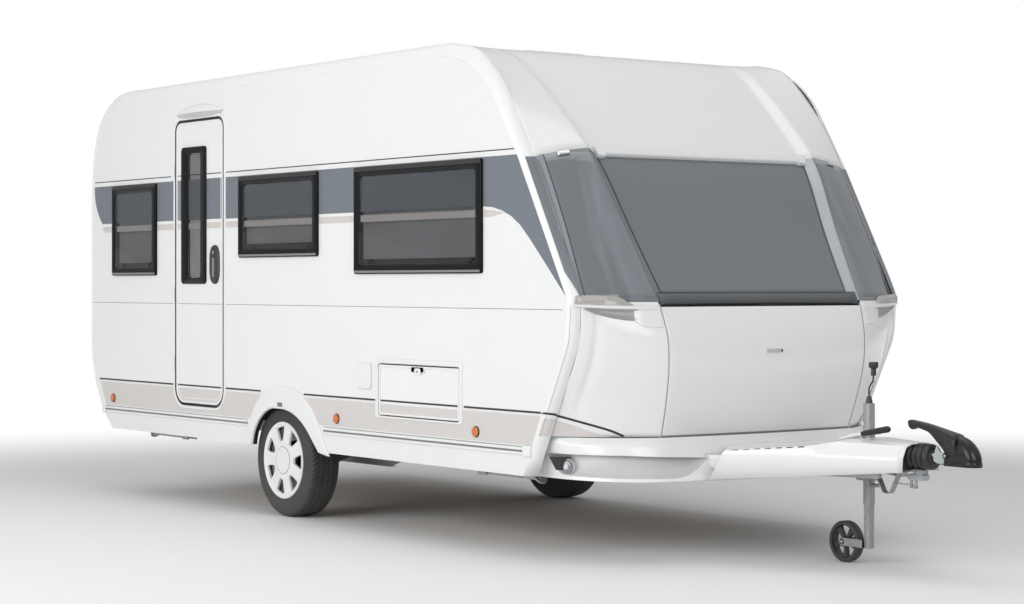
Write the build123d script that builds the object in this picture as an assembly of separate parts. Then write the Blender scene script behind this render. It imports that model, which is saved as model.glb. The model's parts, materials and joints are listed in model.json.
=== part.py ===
"""A single-axle travel caravan, parked on its two wheels and its jockey wheel.

Lengths are millimetres. Stations along the caravan (x, positive towards the coupling) are measured
from the wheel axle, y from the middle plane with the entrance door on the negative side, and z from
the ground. Every piece is written with the origin moved to the middle of the whole length.
"""
from build123d import *
from math import atan2, cos, degrees, radians, sin
import os

# ---------------------------------------------------------------- driving dimensions
ORIGIN_AHEAD_OF_AXLE = 936        # the written origin, measured from the axle

HALF_WIDTH = 1100                 # outer faces of the side walls
WALL = 31                         # sandwich wall, roof and front mouldings
RAIL_DEPTH = 50                   # how far the corner rails reach inwards
PANEL_HALF = HALF_WIDTH - RAIL_DEPTH
SKIRT_Z = 404                     # lowest edge of the body
FLOOR_Z, FLOOR_THICK = 535, 45
GAP = 6                           # clearance round everything that opens

TYRE_R, TYRE_WIDTH, TYRE_Y = 327, 195, 962
RIM_R = 192
HUB_CAP_R = 222

# ---------------------------------------------------------------- helpers


def outline(rows):
    """A closed face from rows of (x, z, radius of the arc that arrives there, 0 for a straight).

    Rows run clockwise, so that a positive radius bulges outwards."""
    points = [(x, z) for x, z, _ in rows]
    edges = []
    for i, (x, z, radius) in enumerate(rows):
        start = points[i - 1]
        edges.append(RadiusArc(start, (x, z), radius) if radius else Line(start, (x, z)))
    return make_face(edges)


def slab(face, y_low, y_high):
    """The flat face, drawn in x and z, as a solid between two planes across the caravan."""
    return Pos(0, y_high, 0) * extrude(Plane.XZ * face, y_high - y_low)


def block(x, y, z):
    """A box from its low and high x, y and z."""
    size = [high - low for low, high in (x, y, z)]
    return Pos(*[(low + high) / 2 for low, high in (x, y, z)]) * Box(*size)


def panel(x, z, radius, y_low, y_high, foot_radius=None):
    """A plate in the side plane with rounded corners, the lower two with a radius of their own."""
    face = Pos((x[0] + x[1]) / 2, (z[0] + z[1]) / 2) * Rectangle(x[1] - x[0], z[1] - z[0])
    corners = face.vertices().sort_by(Axis.Y)
    face = fillet(corners[:2], foot_radius or radius)
    face = fillet(face.vertices().sort_by(Axis.Y)[-2:], radius)
    return slab(face, y_low, y_high)


def rod(start, end, radius):
    """A round bar between two points."""
    path = Vector(*end) - Vector(*start)
    return extrude(Plane(origin=start, z_dir=path) * Circle(radius), path.length)


def mirrored(shape):
    """The same piece on the other side of the middle plane."""
    return mirror(shape, Plane.XZ)


def both(shape):
    """The piece and its mirror image, as one node."""
    return Compound([*shape.solids(), *mirrored(shape).solids()])


def together(shapes):
    """Separate solids as one node."""
    return Compound([solid for shape in shapes for solid in shape.solids()])


def save(name, shape):
    moved = Pos(-ORIGIN_AHEAD_OF_AXLE, 0, 0) * shape
    export_step(moved, f"parts/{name}.step")


# ---------------------------------------------------------------- side outlines of the body
# The wall edge is where the flat side wall meets its corner rail. x, z, arriving radius.
WALL_EDGE = [
    (-2122, SKIRT_Z, 0),
    (-2432, 980, 691),
    (-2432, 1840, 0),
    (-2389, 2214, 1650),
    (-2004, 2520, 396),
    (1660, 2520, 0),
    (2152, 2264, 600),
    (2358, 1965, 0),
    (2752, 1275, 0),
    (2735, 1110, 0),
    (2700, 1010, 250),
    (2400, SKIRT_Z, 0),
]
# The outer edge of the corner rail, which the roof and the rear wall follow too.
BODY_EDGE = [
    (-2141, SKIRT_Z, 0),
    (-2477, 1000, 697),
    (-2477, 1840, 0),
    (-2437, 2216, 1790),
    (-1969, 2594, 478),
    (1660, 2594, 0),
    (2215, 2303, 674),
    (2410, 1995, 0),
    (2799, 1300, 0),
    (2790, 1110, 0),
    (2752, 990, 300),
    (2455, SKIRT_Z, 0),
]

SIDE_WINDOWS = {          # x, z of the pane outside, door side
    "rear": ((-2117, -1502), (1398, 1980)),
    "middle": ((-434, 465), (1500, 1980)),
    "front": ((856, 2059), (1399, 1980)),
}
LEFT_WINDOWS = ("rear", "front")
WINDOW_LAP = 26           # how far a pane laps over its hole
PANE = 18
PANE_CORNER, HOLE_CORNER = 18, 12

DOOR_X, DOOR_Z = (-1244, -639), (608, 2344)
DOOR_CORNER, DOOR_FOOT_CORNER = 60, 100
DOOR_WINDOW_X, DOOR_WINDOW_Z = (-1165, -851), (1345, 2186)

# Frames of the two flaps, x and z: the service flap on the door side, the toilet flap on the far side.
FRAME_X, FRAME_Z = (1062, 1883), (628, 950)
TOILET_FRAME_X, TOILET_FRAME_Z = (-1720, -1340), (628, 960)
FRAME_PROUD = 10
FLAP_INSETS = (32, 17, 36)                         # how far a flap lies inside its frame: ends, foot, top
FLAP_CORNER, FRAME_CORNER = 14, 22


def flap_place(x, z):
    """x and z of the flap inside a frame."""
    ends, foot, top = FLAP_INSETS
    return (x[0] + ends, x[1] - ends), (z[0] + foot, z[1] - top)


FLAP = flap_place(FRAME_X, FRAME_Z)
TOILET_FLAP = flap_place(TOILET_FRAME_X, TOILET_FRAME_Z)

REAR_WINDOW_Y, REAR_WINDOW_Z = 560, (1398, 1985)

ARCH_OUTER = [(-338, 520, 0), (-302, 558, 0), (-20, 758, 400), (130, 758, 0), (462, 566, 450), (583, 385, 0),
              (470, SKIRT_Z, 0), (-290, SKIRT_Z, 0)]
ARCH_LIP = [(-290, SKIRT_Z - 30, 0), (-272, 457, 0), (-50, 626, 290), (70, 626, 0), (362, 504, 480),
            (470, SKIRT_Z, 0), (470, SKIRT_Z - 30, 0)]
ARCH_HOLE = [(-310, SKIRT_Z - 30, 0), (-292, 480, 0), (-50, 690, 330), (90, 690, 0), (430, 530, 480),
             (500, SKIRT_Z, 0), (500, SKIRT_Z - 30, 0)]


def side_wall(windows, openings):
    """A flat wall, with a hole for each pane and for each panel that opens."""
    wall = slab(outline(WALL_EDGE), -HALF_WIDTH, -HALF_WIDTH + WALL)
    low, high = -HALF_WIDTH - 1, -HALF_WIDTH + WALL + 1
    for x, z in windows:
        lap = WINDOW_LAP
        wall -= panel((x[0] + lap, x[1] - lap), (z[0] + lap, z[1] - lap), HOLE_CORNER, low, high)
    for x, z, radius, foot_radius in openings:
        hole_x, hole_z = (x[0] - GAP, x[1] + GAP), (z[0] - GAP, z[1] + GAP)
        wall -= panel(hole_x, hole_z, radius + GAP, low, high, foot_radius + GAP)
    return wall - slab(outline(ARCH_HOLE), low, high)


def window_panes(windows):
    """Acrylic panes that stand on the wall and plug their holes."""
    panes = []
    for x, z in windows:
        lap = WINDOW_LAP
        outer = panel(x, z, PANE_CORNER, -HALF_WIDTH - PANE, -HALF_WIDTH)
        hole_x, hole_z = (x[0] + lap, x[1] - lap), (z[0] + lap, z[1] - lap)
        panes.append(outer + panel(hole_x, hole_z, HOLE_CORNER, -HALF_WIDTH, -HALF_WIDTH + WALL))
    return together(panes)


# ---------------------------------------------------------------- roof and rear
def band(face):
    """The strip one wall thick just inside the body edge, between the corner rails."""
    inner = offset(face, -WALL, kind=Kind.INTERSECTION)
    return slab(face - inner, -PANEL_HALF, PANEL_HALF)


REAR_JOINT_X = -1985                # the rear wall turns under the roof sheet here
ROOF_LIGHTS = [                     # x centre, y centre, length, width
    (900, 0, 700, 500),
    (-700, 250, 400, 400),
    (-1700, 0, 400, 400),
]
ROOF_LIGHT_HEIGHT, ROOF_LIGHT_CORNER = 60, 55


def roof_and_rear():
    ring = band(outline(BODY_EDGE))
    roof = ring & block((REAR_JOINT_X, HOOD_START_X), (-1500, 1500), (2400, 2700))
    rear = ring & block((-2700, REAR_JOINT_X), (-1500, 1500), (SKIRT_Z + 1, 2700))
    rear -= block((-2600, -2000), (-REAR_WINDOW_Y + WINDOW_LAP, REAR_WINDOW_Y - WINDOW_LAP),
                  (REAR_WINDOW_Z[0] + WINDOW_LAP, REAR_WINDOW_Z[1] - WINDOW_LAP))
    for row in ROOF_LIGHTS:
        roof -= roof_light_shape(*row, -WALL - 9, 30)
    return roof, rear


def rear_window():
    x = BODY_EDGE[1][0]
    pane = block((x - PANE, x), (-REAR_WINDOW_Y, REAR_WINDOW_Y), REAR_WINDOW_Z)
    pane = fillet(pane.edges().filter_by(Axis.X), 60)
    lap = WINDOW_LAP
    plug = block((x, x + WALL), (-REAR_WINDOW_Y + lap, REAR_WINDOW_Y - lap),
                 (REAR_WINDOW_Z[0] + lap, REAR_WINDOW_Z[1] - lap))
    return pane + plug


def roof_light_shape(x, y, length, width, low, high):
    """A block with rounded corners between two heights from the roof's outer face."""
    face = Pos(x, y, BODY_EDGE[4][1] + low) * RectangleRounded(length, width, ROOF_LIGHT_CORNER)
    return extrude(face, high - low)


def roof_lights():
    """Low plastic domes whose frames fill the holes in the roof."""
    lights = []
    for x, y, length, width in ROOF_LIGHTS:
        z, taper, wall = BODY_EDGE[4][1], 70, 30
        dome = loft([Pos(x, y, z) * RectangleRounded(length, width, ROOF_LIGHT_CORNER),
                     Pos(x, y, z + ROOF_LIGHT_HEIGHT)
                     * RectangleRounded(length - taper, width - taper, ROOF_LIGHT_CORNER)])
        frame = roof_light_shape(x, y, length, width, -WALL, 0)
        inside = (length - taper - wall, width - taper - wall)
        lights.append(dome + frame - roof_light_shape(x, y, *inside, -WALL, ROOF_LIGHT_HEIGHT / 2))
    return together(lights)


def corner_rail():
    """The extrusion that joins side wall to roof, rear and front, with a rounded outer corner."""
    ring = outline(BODY_EDGE) - outline(WALL_EDGE)
    rail = slab(ring, -HALF_WIDTH, -PANEL_HALF)
    low = rail.bounding_box().min.Z
    rail &= block((-3000, 3000), (-HALF_WIDTH, -PANEL_HALF), (low + 1, 3000))
    return rail


# ---------------------------------------------------------------- front mouldings
HOOD_START_X = 1600
# Stations down the front: x and z of the rib, slope below level, y of the rib, how far the surface
# falls back at the corner rail, and how deep the middle lies between the ribs.
FRONT_STATIONS = [
    (1600, 2594, 0, 830, 3, 1),
    (1815, 2560, 18, 812, -14, 8),
    (1996, 2469, 37, 800, -28, 26),
    (2268, 2241, 43, 780, 12, 34),
    (2515, 1985, 54, 757, 86, 38),
    (2720, 1620, 61, 712, 87, 34),
    (2926, 1263, 90, 676, 128, 26),
]
HOOD_STATIONS, WINDOW_STATIONS = slice(0, 5), slice(4, 7)
RIB_BEVEL = 58
WINDOW_PANE = 18
# Stations down the lower front: x, z and y of the lid's edge, and the fall back at the corner rail.
CHEEK_STATIONS = [
    (2929, 1260, 672, 130),
    (2978, 1100, 657, 188),
    (2980, 940, 650, 248),
    (2944, 770, 638, 318),
    (2892, 604, 625, 352),
]
LID_THICK = 26
LID_BULGE = [4, 26, 42, 44, 30]            # how far the lid's middle stands ahead, station by station
LID_Z = (608, 1236)


def station_plane(x, z, slope):
    """Across the front at one station, with its own y pointing out of the surface."""
    slope = radians(slope)
    return Plane(origin=(x, 0, z), x_dir=(0, 1, 0), z_dir=(cos(slope), 0, -sin(slope)))


def cheek_curve(rib, fall, depth):
    """The curved stretch of a section from the rib out to the corner rail."""
    middle = ((rib + PANEL_HALF) / 2, -fall * 0.38 - depth)
    return ThreePointArc((rib, -depth), middle, (PANEL_HALF, -fall - depth))


def pillar_face(rib, fall, recess):
    """Section of one front pillar: the bevel inside the rib, the rib and the curve to the corner."""
    low = rib - RIB_BEVEL
    edges = [Line((low, -recess), (rib, 0)), cheek_curve(rib, fall, 0),
             Line((PANEL_HALF, -fall), (PANEL_HALF, -fall - WALL)), cheek_curve(rib, fall, WALL),
             Line((rib, -WALL), (low, -recess - WALL)), Line((low, -recess - WALL), (low, -recess))]
    return make_face(edges)


def bridge_face(rib, recess, thick):
    """Section between the two bevels."""
    low = rib - RIB_BEVEL
    back = -recess - thick
    return make_face(Polyline((-low, -recess), (low, -recess), (low, back), (-low, back), close=True))


def front_loft(stations, face):
    return loft([station_plane(*row[:3]) * face(row) for row in FRONT_STATIONS[stations]], ruled=True)


def front_hood():
    """The moulding over the front, from the roof sheet to the window, with its two ribs."""
    side = front_loft(HOOD_STATIONS, lambda row: pillar_face(*row[3:]))
    middle = front_loft(HOOD_STATIONS, lambda row: bridge_face(row[3], row[5], WALL))
    return side + middle + mirrored(side)


def front_pillars():
    return both(front_loft(WINDOW_STATIONS, lambda row: pillar_face(*row[3:])))


def front_window():
    """The one-piece front pane, between the bevels of the pillars."""
    return front_loft(WINDOW_STATIONS, lambda row: bridge_face(row[3], row[5], WINDOW_PANE))


def front_cheeks():
    """The curved corners beside the locker lid."""
    sections = []
    for x, z, edge, fall in CHEEK_STATIONS:
        inside, outside = edge + GAP, PANEL_HALF
        middle = ((inside + outside) / 2, -fall * 0.40)
        curve = ThreePointArc((inside, 0), middle, (outside, -fall))
        back = ThreePointArc((inside, -WALL), (middle[0], middle[1] - WALL), (outside, -fall - WALL))
        face = make_face([curve, Line((outside, -fall), (outside, -fall - WALL)), back,
                          Line((inside, -WALL), (inside, 0))])
        sections.append(station_plane(x, z, 90) * face)
    return both(loft(sections, ruled=True))


def locker_lid():
    """The lid of the gas locker, bowed forward across its middle."""
    sections = []
    for (x, z, edge, _), bulge in zip(CHEEK_STATIONS, LID_BULGE):
        front = ThreePointArc((-edge, 0), (0, bulge), (edge, 0))
        back = ThreePointArc((-edge, -LID_THICK), (0, bulge - LID_THICK), (edge, -LID_THICK))
        sides = [Line((edge, 0), (edge, -LID_THICK)), Line((-edge, -LID_THICK), (-edge, 0))]
        sections.append(station_plane(x, z, 90) * make_face([front, sides[0], back, sides[1]]))
    lid = loft(sections, ruled=True)
    return lid & block((2500, 3200), (-900, 900), LID_Z)


BULKHEAD_X = (2460, 2491)
SHELF_Z = (1248, 1260)
LOCKER_FLOOR_Z = (601, 616)


def locker_box():
    """Bulkhead, shelf and floor behind the lid."""
    inside = PANEL_HALF - 1
    bulkhead = block(BULKHEAD_X, (-inside, inside), (LOCKER_FLOOR_Z[0], SHELF_Z[1]))
    bulkhead += block(BULKHEAD_X, (-940, 940), (FLOOR_Z + FLOOR_THICK, LOCKER_FLOOR_Z[0]))
    shelf = block((BULKHEAD_X[0], 2860), (-640, 640), SHELF_Z)
    floor = block((BULKHEAD_X[0], 2850), (-610, 610), LOCKER_FLOOR_Z)
    return bulkhead + shelf + floor


# Front apron, from its top ledge down to its lowest edge: z, x at the middle, x and y where the front
# turns into the corner, x and y half way round it, x and y where the side begins, and x at the rear end.
APRON_ROWS = [
    (600, 2938, (2900, 630), (2748, 868), (2478, 1046), 2376),
    (568, 2955, (2935, 640), (2790, 884), (2480, 1040), 2376),
    (556, 2952, (2932, 640), (2752, 852), (2470, 985), 2376),
    (440, 3050, (2990, 640), (2785, 870), (2450, 965), 2376),
    (425, 3060, (2995, 640), (2822, 903), (2460, 985), 2376),
    (396, 3092, (3010, 640), (2840, 905), (2460, 990), 2240),
]
APRON_THICK = 14
APRON_FRONT_Z = 575                         # the drawbar cover passes below this height
FRONT_LAMP = (2590, -962, 456)
FRONT_LAMP_R, FRONT_LAMP_TURN = 40, 20


def apron_solid(inset):
    """The apron filled in, its walls moved inwards: a ledge, a hollow below it and a lip."""
    sections = []
    for z, middle, turn, corner, side, rear in APRON_ROWS:
        (turn_x, turn_y), (corner_x, corner_y), (side_x, side_y) = turn, corner, side
        turn_x, side_y = turn_x - inset, side_y - inset
        corner_x, corner_y = corner_x - inset * 0.7, corner_y - inset * 0.7
        front = ThreePointArc((turn_x, -turn_y), (middle - inset, 0), (turn_x, turn_y))
        near = ThreePointArc((side_x, -side_y), (corner_x, -corner_y), (turn_x, -turn_y))
        far = ThreePointArc((turn_x, turn_y), (corner_x, corner_y), (side_x, side_y))
        back = Polyline((side_x, side_y), (rear, side_y), (rear, -side_y), (side_x, -side_y))
        sections.append(Pos(0, 0, z) * make_face([near, front, far, back]))
    return loft(sections, ruled=True)


def front_lamp(radius):
    """The round lamp that stands in the hollow of the apron."""
    turn = radians(FRONT_LAMP_TURN)
    plane = Plane(origin=FRONT_LAMP, z_dir=(sin(turn), -cos(turn), 0))
    return extrude(plane * Circle(radius), 30, both=True)


def apron():
    shell = apron_solid(0) - apron_solid(APRON_THICK)
    shell -= block((2000, 3200), (-COVER_REAR_Y - 4, COVER_REAR_Y + 4), (300, APRON_FRONT_Z))
    return shell - both(front_lamp(FRONT_LAMP_R))


def front_lamps():
    lens = front_lamp(FRONT_LAMP_R) & block((2400, 2800), (-990, -940), (300, 600))
    return both(lens)


COVER_REAR_Y, COVER_FRONT_Y = 535, 118
# Drawbar cover: x, half width, z of the lowest edge, of the shoulder and of the top, and how wide the
# top is for the width below it.
COVER_STATIONS = [
    (2948, COVER_REAR_Y, 400, 545, 570, 0.70),
    (3010, COVER_REAR_Y, 400, 545, 572, 0.70),
    (3330, 398, 425, 545, 578, 0.66),
    (3480, 335, 437, 545, 606, 0.60),
    (4000, COVER_FRONT_Y, 480, 545, 622, 0.66),
]
COVER_THICK = 12


def cover_face(half, low, shoulder, top, ridge, inset):
    """Section across the drawbar cover, an open hood with a flat tread on top."""
    low -= 20 if inset else 0                # the hollow runs out below the hood
    right = [(half - inset, low), (half - inset - 8, shoulder - inset / 2), (half * ridge, top - inset)]
    left = [(-y, z) for y, z in reversed(right)]
    return make_face(Polyline(*right, *left, close=True))


def drawbar_cover():
    """An open hood over the drawbar: a low tread at the rear, then a hump over the overrun gear."""
    def shape(inset):
        return loft([Plane(origin=(x, 0, 0), x_dir=(0, 1, 0), z_dir=(1, 0, 0)) * cover_face(*row, inset)
                     for x, *row in COVER_STATIONS], ruled=True)
    cover = shape(0) - shape(COVER_THICK)
    cover -= block((JOCKEY_X - 44, JOCKEY_X + 44), (JOCKEY_Y - 44, JOCKEY_Y + 44), (400, 800))
    return cover - block(LEVER_SLOT_X, (LEVER_Y[0] - 8, LEVER_Y[1] + 6), (400, 800))


# ---------------------------------------------------------------- trim
def arch_trim():
    trim = slab(outline(ARCH_OUTER), -HALF_WIDTH - 14, -HALF_WIDTH)
    lip = slab(outline(ARCH_HOLE), -HALF_WIDTH - 14, -HALF_WIDTH + 20)
    trim = trim + (lip & block((-400, 600), (-1200, -1000), (SKIRT_Z, 800)))
    return trim - slab(outline(ARCH_LIP), -1200, -1000)


SKIRT_RAILS = [(712, 724, 9), (531, 545, 12), (508, 521, 12)]      # low z, high z, how far it stands out


def skirt_rails():
    """The long side mouldings above the skirt, broken at the arches and the panels that open."""
    rails = []
    for low, high, proud in SKIRT_RAILS:
        z = (low + high) / 2
        rear = -2330 if z > 600 else -2250
        front = 2520 if z > 600 else 2440
        gaps = [(ARCH_OUTER[0][0] - 4, 514)]
        if z > 600:
            gaps = [(DOOR_X[0] - 30, DOOR_X[1] + 12), (-190, 320), (FRAME_X[0] - 12, FRAME_X[1] + 12)]
        starts = [rear] + [gap[1] for gap in gaps]
        ends = [gap[0] for gap in gaps] + [front]
        for start, end in zip(starts, ends):
            rails.append(block((start, end), (-HALF_WIDTH - proud, -HALF_WIDTH), (low, high)))
    return rails


def front_rail():
    """The white bar above the front window."""
    x, z, slope, rib, _, recess = FRONT_STATIONS[4]
    half = rib - RIB_BEVEL - 4
    plane = station_plane(x, z, slope)
    bar = extrude(plane * Pos(0, -recess + 14) * Rectangle(2 * half, 28), 26, both=True)
    bar = fillet(bar.edges().filter_by(Axis.Y), 8)
    return bar - front_hood() - front_window() - front_pillars()



WING_PLAN = [(2780, -1060), (2960, -684), (3010, -690), (2975, -812), (2868, -1040)]
WING_Z, SCOOP_DEPTH = (1216, 1250), 16
WING_LENS = [(2800, -1040), (2905, -820), (2948, -832), (2862, -1028)]
WING_LENS_Z = (1250, 1282)


def shrunk_face(points, share):
    """The outline drawn in towards its middle by a share of its size."""
    x, y = (sum(values) / len(points) for values in zip(*points))
    corners = [(px + (x - px) * share, py + (y - py) * share) for px, py in points]
    return make_face(Polyline(*corners, close=True))


def front_wings():
    """The blade over each front corner: scooped out below, with a marker lens on top."""
    low, high = WING_Z
    blade = extrude(Pos(0, 0, low) * make_face(Polyline(*WING_PLAN, close=True)), high - low)
    blade = chamfer(blade.edges().filter_by(GeomType.LINE).group_by(Axis.Z)[-1], 5)
    scoop = Pos(2930, -850, low) * Rot(0, 0, 61) * Box(210, 56, 2 * SCOOP_DEPTH)
    lens_low, lens_high = WING_LENS_Z
    foot = Pos(0, 0, lens_low) * make_face(Polyline(*WING_LENS, close=True))
    lens = loft([foot, Pos(0, 0, lens_high) * shrunk_face(WING_LENS, 0.35)])
    return both((blade - scoop + lens) - front_cheeks() - front_pillars() - corner_rail())


def marker_lamps():
    """Round amber side markers and the lamps in the hood."""
    lamps = []
    for x in (-2122, 658, 1999):
        lamps.append(slab(Pos(x, 600) * Circle(29), -HALF_WIDTH - 12, -HALF_WIDTH))
    return lamps


def rear_lamps():
    """One upright lamp cluster low on each rear corner."""
    x = BODY_EDGE[1][0]
    lamp = block((x - 32, x), (-1035, -885), (1010, 1360))
    lamp = fillet(lamp.edges().filter_by(Axis.X), 40)
    return both(lamp)


AWNING_X, AWNING_Z, AWNING_OUT = (-1241, -635), (2354, 2444), 34
AWNING_NOSE_Z = 2392                        # height of the pointed ends and of the nose between them


def awning_light():
    """The lamp over the door: a hood that is pointed at both ends, with an undercut below its nose."""
    (rear, front), (low, high), wall_y = AWNING_X, AWNING_Z, -HALF_WIDTH
    middle, cut_back = (rear + front) / 2, 56
    tips = [(rear, AWNING_NOSE_Z), (front, AWNING_NOSE_Z)]
    foot = [(front - cut_back, low), (rear + cut_back, low)]
    face = make_face([ThreePointArc(tips[0], (middle, high), tips[1]), Polyline(tips[1], *foot, tips[0])])
    section = make_face(Polyline((wall_y, low - 2), (wall_y - AWNING_OUT, AWNING_NOSE_Z),
                                 (wall_y - AWNING_OUT, AWNING_NOSE_Z + 6), (wall_y, high + 14), close=True))
    plan = make_face([ThreePointArc((rear, wall_y), (middle, wall_y - AWNING_OUT), (front, wall_y)),
                      Line((front, wall_y), (rear, wall_y))])
    across = Plane(origin=(rear, 0, 0), x_dir=(0, 1, 0), z_dir=(1, 0, 0)) * section
    body = slab(face, wall_y - AWNING_OUT, wall_y) & extrude(across, front - rear)
    return body & extrude(Pos(0, 0, low - 10) * plan, high - low + 20)


# ---------------------------------------------------------------- floor and running gear
def floor_panel():
    """The sandwich floor, cut for the wheel houses."""
    inside = HALF_WIDTH - WALL
    z = (FLOOR_Z, FLOOR_Z + FLOOR_THICK)
    floor = block((-2180, 2370), (-inside, inside), z) + block((2370, BULKHEAD_X[1]), (-940, 940), z)
    for side in (-1, 1):
        floor -= Pos(HOUSE_X, side * (HOUSE_Y_IN + 150), FLOOR_Z) * Box(HOUSE_LENGTH, 300, 200)
    return floor


HOUSE_X, HOUSE_LENGTH, HOUSE_Y_IN, HOUSE_TOP, HOUSE_WALL = 30, 860, 830, 745, 12


def wheel_house():
    """The box over the tyre, open below and to the arch."""
    x = (HOUSE_X - HOUSE_LENGTH / 2, HOUSE_X + HOUSE_LENGTH / 2)
    inside = HALF_WIDTH - WALL
    outer = block(x, (-inside, -HOUSE_Y_IN), (FLOOR_Z, HOUSE_TOP))
    t = HOUSE_WALL
    inner = block((x[0] + t, x[1] - t), (-inside - 1, -HOUSE_Y_IN - t), (FLOOR_Z - 1, HOUSE_TOP - t))
    return outer - inner


RAIL_Y = 640
RAIL_T = 4
RAIL_ENDS = (-2080, 2450)
AXLE_X, AXLE_Z = 165, 392
AXLE_R = 50


def chassis_rail():
    """A channel that is deepest over the axle and runs on into the drawbar."""
    rear, front = RAIL_ENDS
    web = outline([(rear, 436, 0), (rear, FLOOR_Z, 0), (front, FLOOR_Z, 0), (front, 436, 0),
                   (900, 425, 0), (480, 300, 0), (-160, 300, 0), (-560, 425, 0)])
    plate = slab(web, -RAIL_Y, -RAIL_Y + RAIL_T)
    lip = block(RAIL_ENDS, (-RAIL_Y, -RAIL_Y + 45), (FLOOR_Z - RAIL_T, FLOOR_Z))
    foot = block((-160, 480), (-RAIL_Y, -RAIL_Y + 45), (300, 304))
    return plate + lip + foot - axle_tube()


CROSS_MEMBERS_X = (-2070, -1100, 1000, 2380)


def chassis_cross_members():
    """The members between the channels, and the hinge brackets of the steadies outside them."""
    inside, length = RAIL_Y - RAIL_T, 50
    pieces = [block((x, x + length), (-inside, inside), (455, FLOOR_Z - RAIL_T)) for x in CROSS_MEMBERS_X]
    cheek_y, cheek_t, plate_t = STEADY_Y - STEADY_HALF - STEADY_GAP, 6, 8
    for x, _ in STEADIES:
        low, high = -2 * STEADY_Y + cheek_y - cheek_t, -cheek_y + cheek_t
        bracket = block((x - 40, x + 40), (low, -RAIL_Y), (FLOOR_Z - plate_t, FLOOR_Z))
        for y in (low, high - cheek_t):
            bracket += block((x - 40, x + 40), (y, y + cheek_t), (STEADY_Z - 22, FLOOR_Z))
        pieces += [bracket, mirrored(bracket)]
    return together(pieces)


DRAWBAR_Z = (440, 520)
DRAWBAR_TIP_X, DRAWBAR_TIP_Y = 3820, 62


def drawbar():
    """The two box members that run together under the cover."""
    path = Vector(DRAWBAR_TIP_X, -DRAWBAR_TIP_Y - 18, 0) - Vector(RAIL_ENDS[1], -RAIL_Y + 25, 0)
    turn = degrees(atan2(path.Y, path.X))
    start = Pos(RAIL_ENDS[1], -RAIL_Y + 25, (DRAWBAR_Z[0] + DRAWBAR_Z[1]) / 2) * Rot(0, 0, turn)
    return start * (Pos(path.length / 2, 0, 0) * Box(path.length, 36, DRAWBAR_Z[1] - DRAWBAR_Z[0]))


def axle_tube():
    """The six-sided tube, solid because its inside holds the rubber springs; the arms enter its ends."""
    reach = RAIL_Y + 60
    tube = Pos(AXLE_X, reach, AXLE_Z) * extrude(Plane.XZ * RegularPolygon(AXLE_R, 6), 2 * reach)
    return tube - both(arm_shaft())


def arm_shaft():
    """The end of a swing arm's shaft, inside the tube."""
    y_out, depth = -RAIL_Y - 62, 62
    return Pos(AXLE_X, y_out + depth, AXLE_Z) * extrude(Plane.XZ * Circle(AXLE_R - 14), depth)


def swing_arm():
    """The trailing arm, with the stub that the wheel turns on."""
    y_in, y_out = -790, -RAIL_Y - 62
    face = make_hull([*(Pos(AXLE_X, AXLE_Z) * Circle(46)).edges(), *(Pos(0, TYRE_R) * Circle(34)).edges()])
    arm = slab(face, y_in, y_out)
    shaft = arm_shaft()
    stub = Pos(0, y_in, TYRE_R) * extrude(Plane.XZ * Circle(HUB_BORE_R - 1), STUB_OUT_Y + y_in)
    return arm + shaft + stub


HUB_BORE_R = 31
STUB_OUT_Y = 1000
BEAD_R = RIM_R + 4


def tyre():
    """The tyre's section, turned about the hub: rounded shoulders and the bead seats."""
    half, tread = TYRE_WIDTH / 2, 74
    side = [(BEAD_R, 62), (BEAD_R + 12, half - 8), (262, half), (310, half - 8), (TYRE_R, tread)]
    section = Polyline(*[(radius, -y) for radius, y in side], *reversed(side), close=True)
    turned = revolve(Plane.XZ * make_face(section), Axis.Z)
    return Pos(0, -TYRE_Y, TYRE_R) * Rot(90, 0, 0) * turned


def rim():
    """Steel wheel: barrel, disc and hub drum."""
    barrel = revolve(Plane.XZ * make_face(Polyline(
        (BEAD_R - 0.4, -61), (BEAD_R - 0.4, 61), (BEAD_R - 8, 61), (BEAD_R - 26, 30), (BEAD_R - 26, 14),
        (HUB_BORE_R, 14), (HUB_BORE_R, -155), (115, -155), (115, -75), (80, -75), (80, 4),
        (BEAD_R - 34, 4), (BEAD_R - 34, -34), (BEAD_R - 8, -61), close=True)), Axis.Z)
    return Pos(0, -TYRE_Y, TYRE_R) * Rot(90, 0, 0) * barrel


HUB_CAP_WINDOWS = 7
WINDOW_INNER, WINDOW_OUTER = (84, 9), (166, 33)       # radius and half width at the ends of a window


def hub_cap_window():
    """A window that narrows towards the hub, with rounded corners."""
    (low, low_half), (high, high_half) = WINDOW_INNER, WINDOW_OUTER
    points = [(low, -low_half), (high, -high_half), (high, high_half), (low, low_half)]
    face = make_face(Polyline(*points, close=True))
    corners = face.vertices().sort_by(Axis.X)
    face = fillet(corners[:2], 6)
    return extrude(fillet(face.vertices().sort_by(Axis.X)[-2:], 14), 200, both=True)


def hub_cap():
    """The domed cover over the wheel, with a ring of windows that narrow towards the hub."""
    section = Polyline((0, 84), (58, 84), (66, 76), (190, 80), (HUB_CAP_R, 98), (HUB_CAP_R, 103), (188, 86),
                       (68, 82), (60, 92), (0, 92), close=True)
    seat = make_face(Polyline((187, 61), (193, 61), (193, 90), (187, 84), close=True))
    cap = revolve(Plane.XZ * make_face(section), Axis.Z) + revolve(Plane.XZ * seat, Axis.Z)
    cap -= PolarLocations(0, HUB_CAP_WINDOWS) * hub_cap_window()
    return Pos(0, -TYRE_Y, TYRE_R) * Rot(90, 0, 0) * cap


# ---------------------------------------------------------------- corner steadies
STEADY_Y, STEADY_Z = 850, 375
STEADIES = [(-1540, -1), (1740, 1)]        # x of the pivot, and which way the folded leg points
STEADY_LENGTH, STEADY_HALF, STEADY_GAP = 500, 24, 2
STEADY_PIN_R = 8


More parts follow.
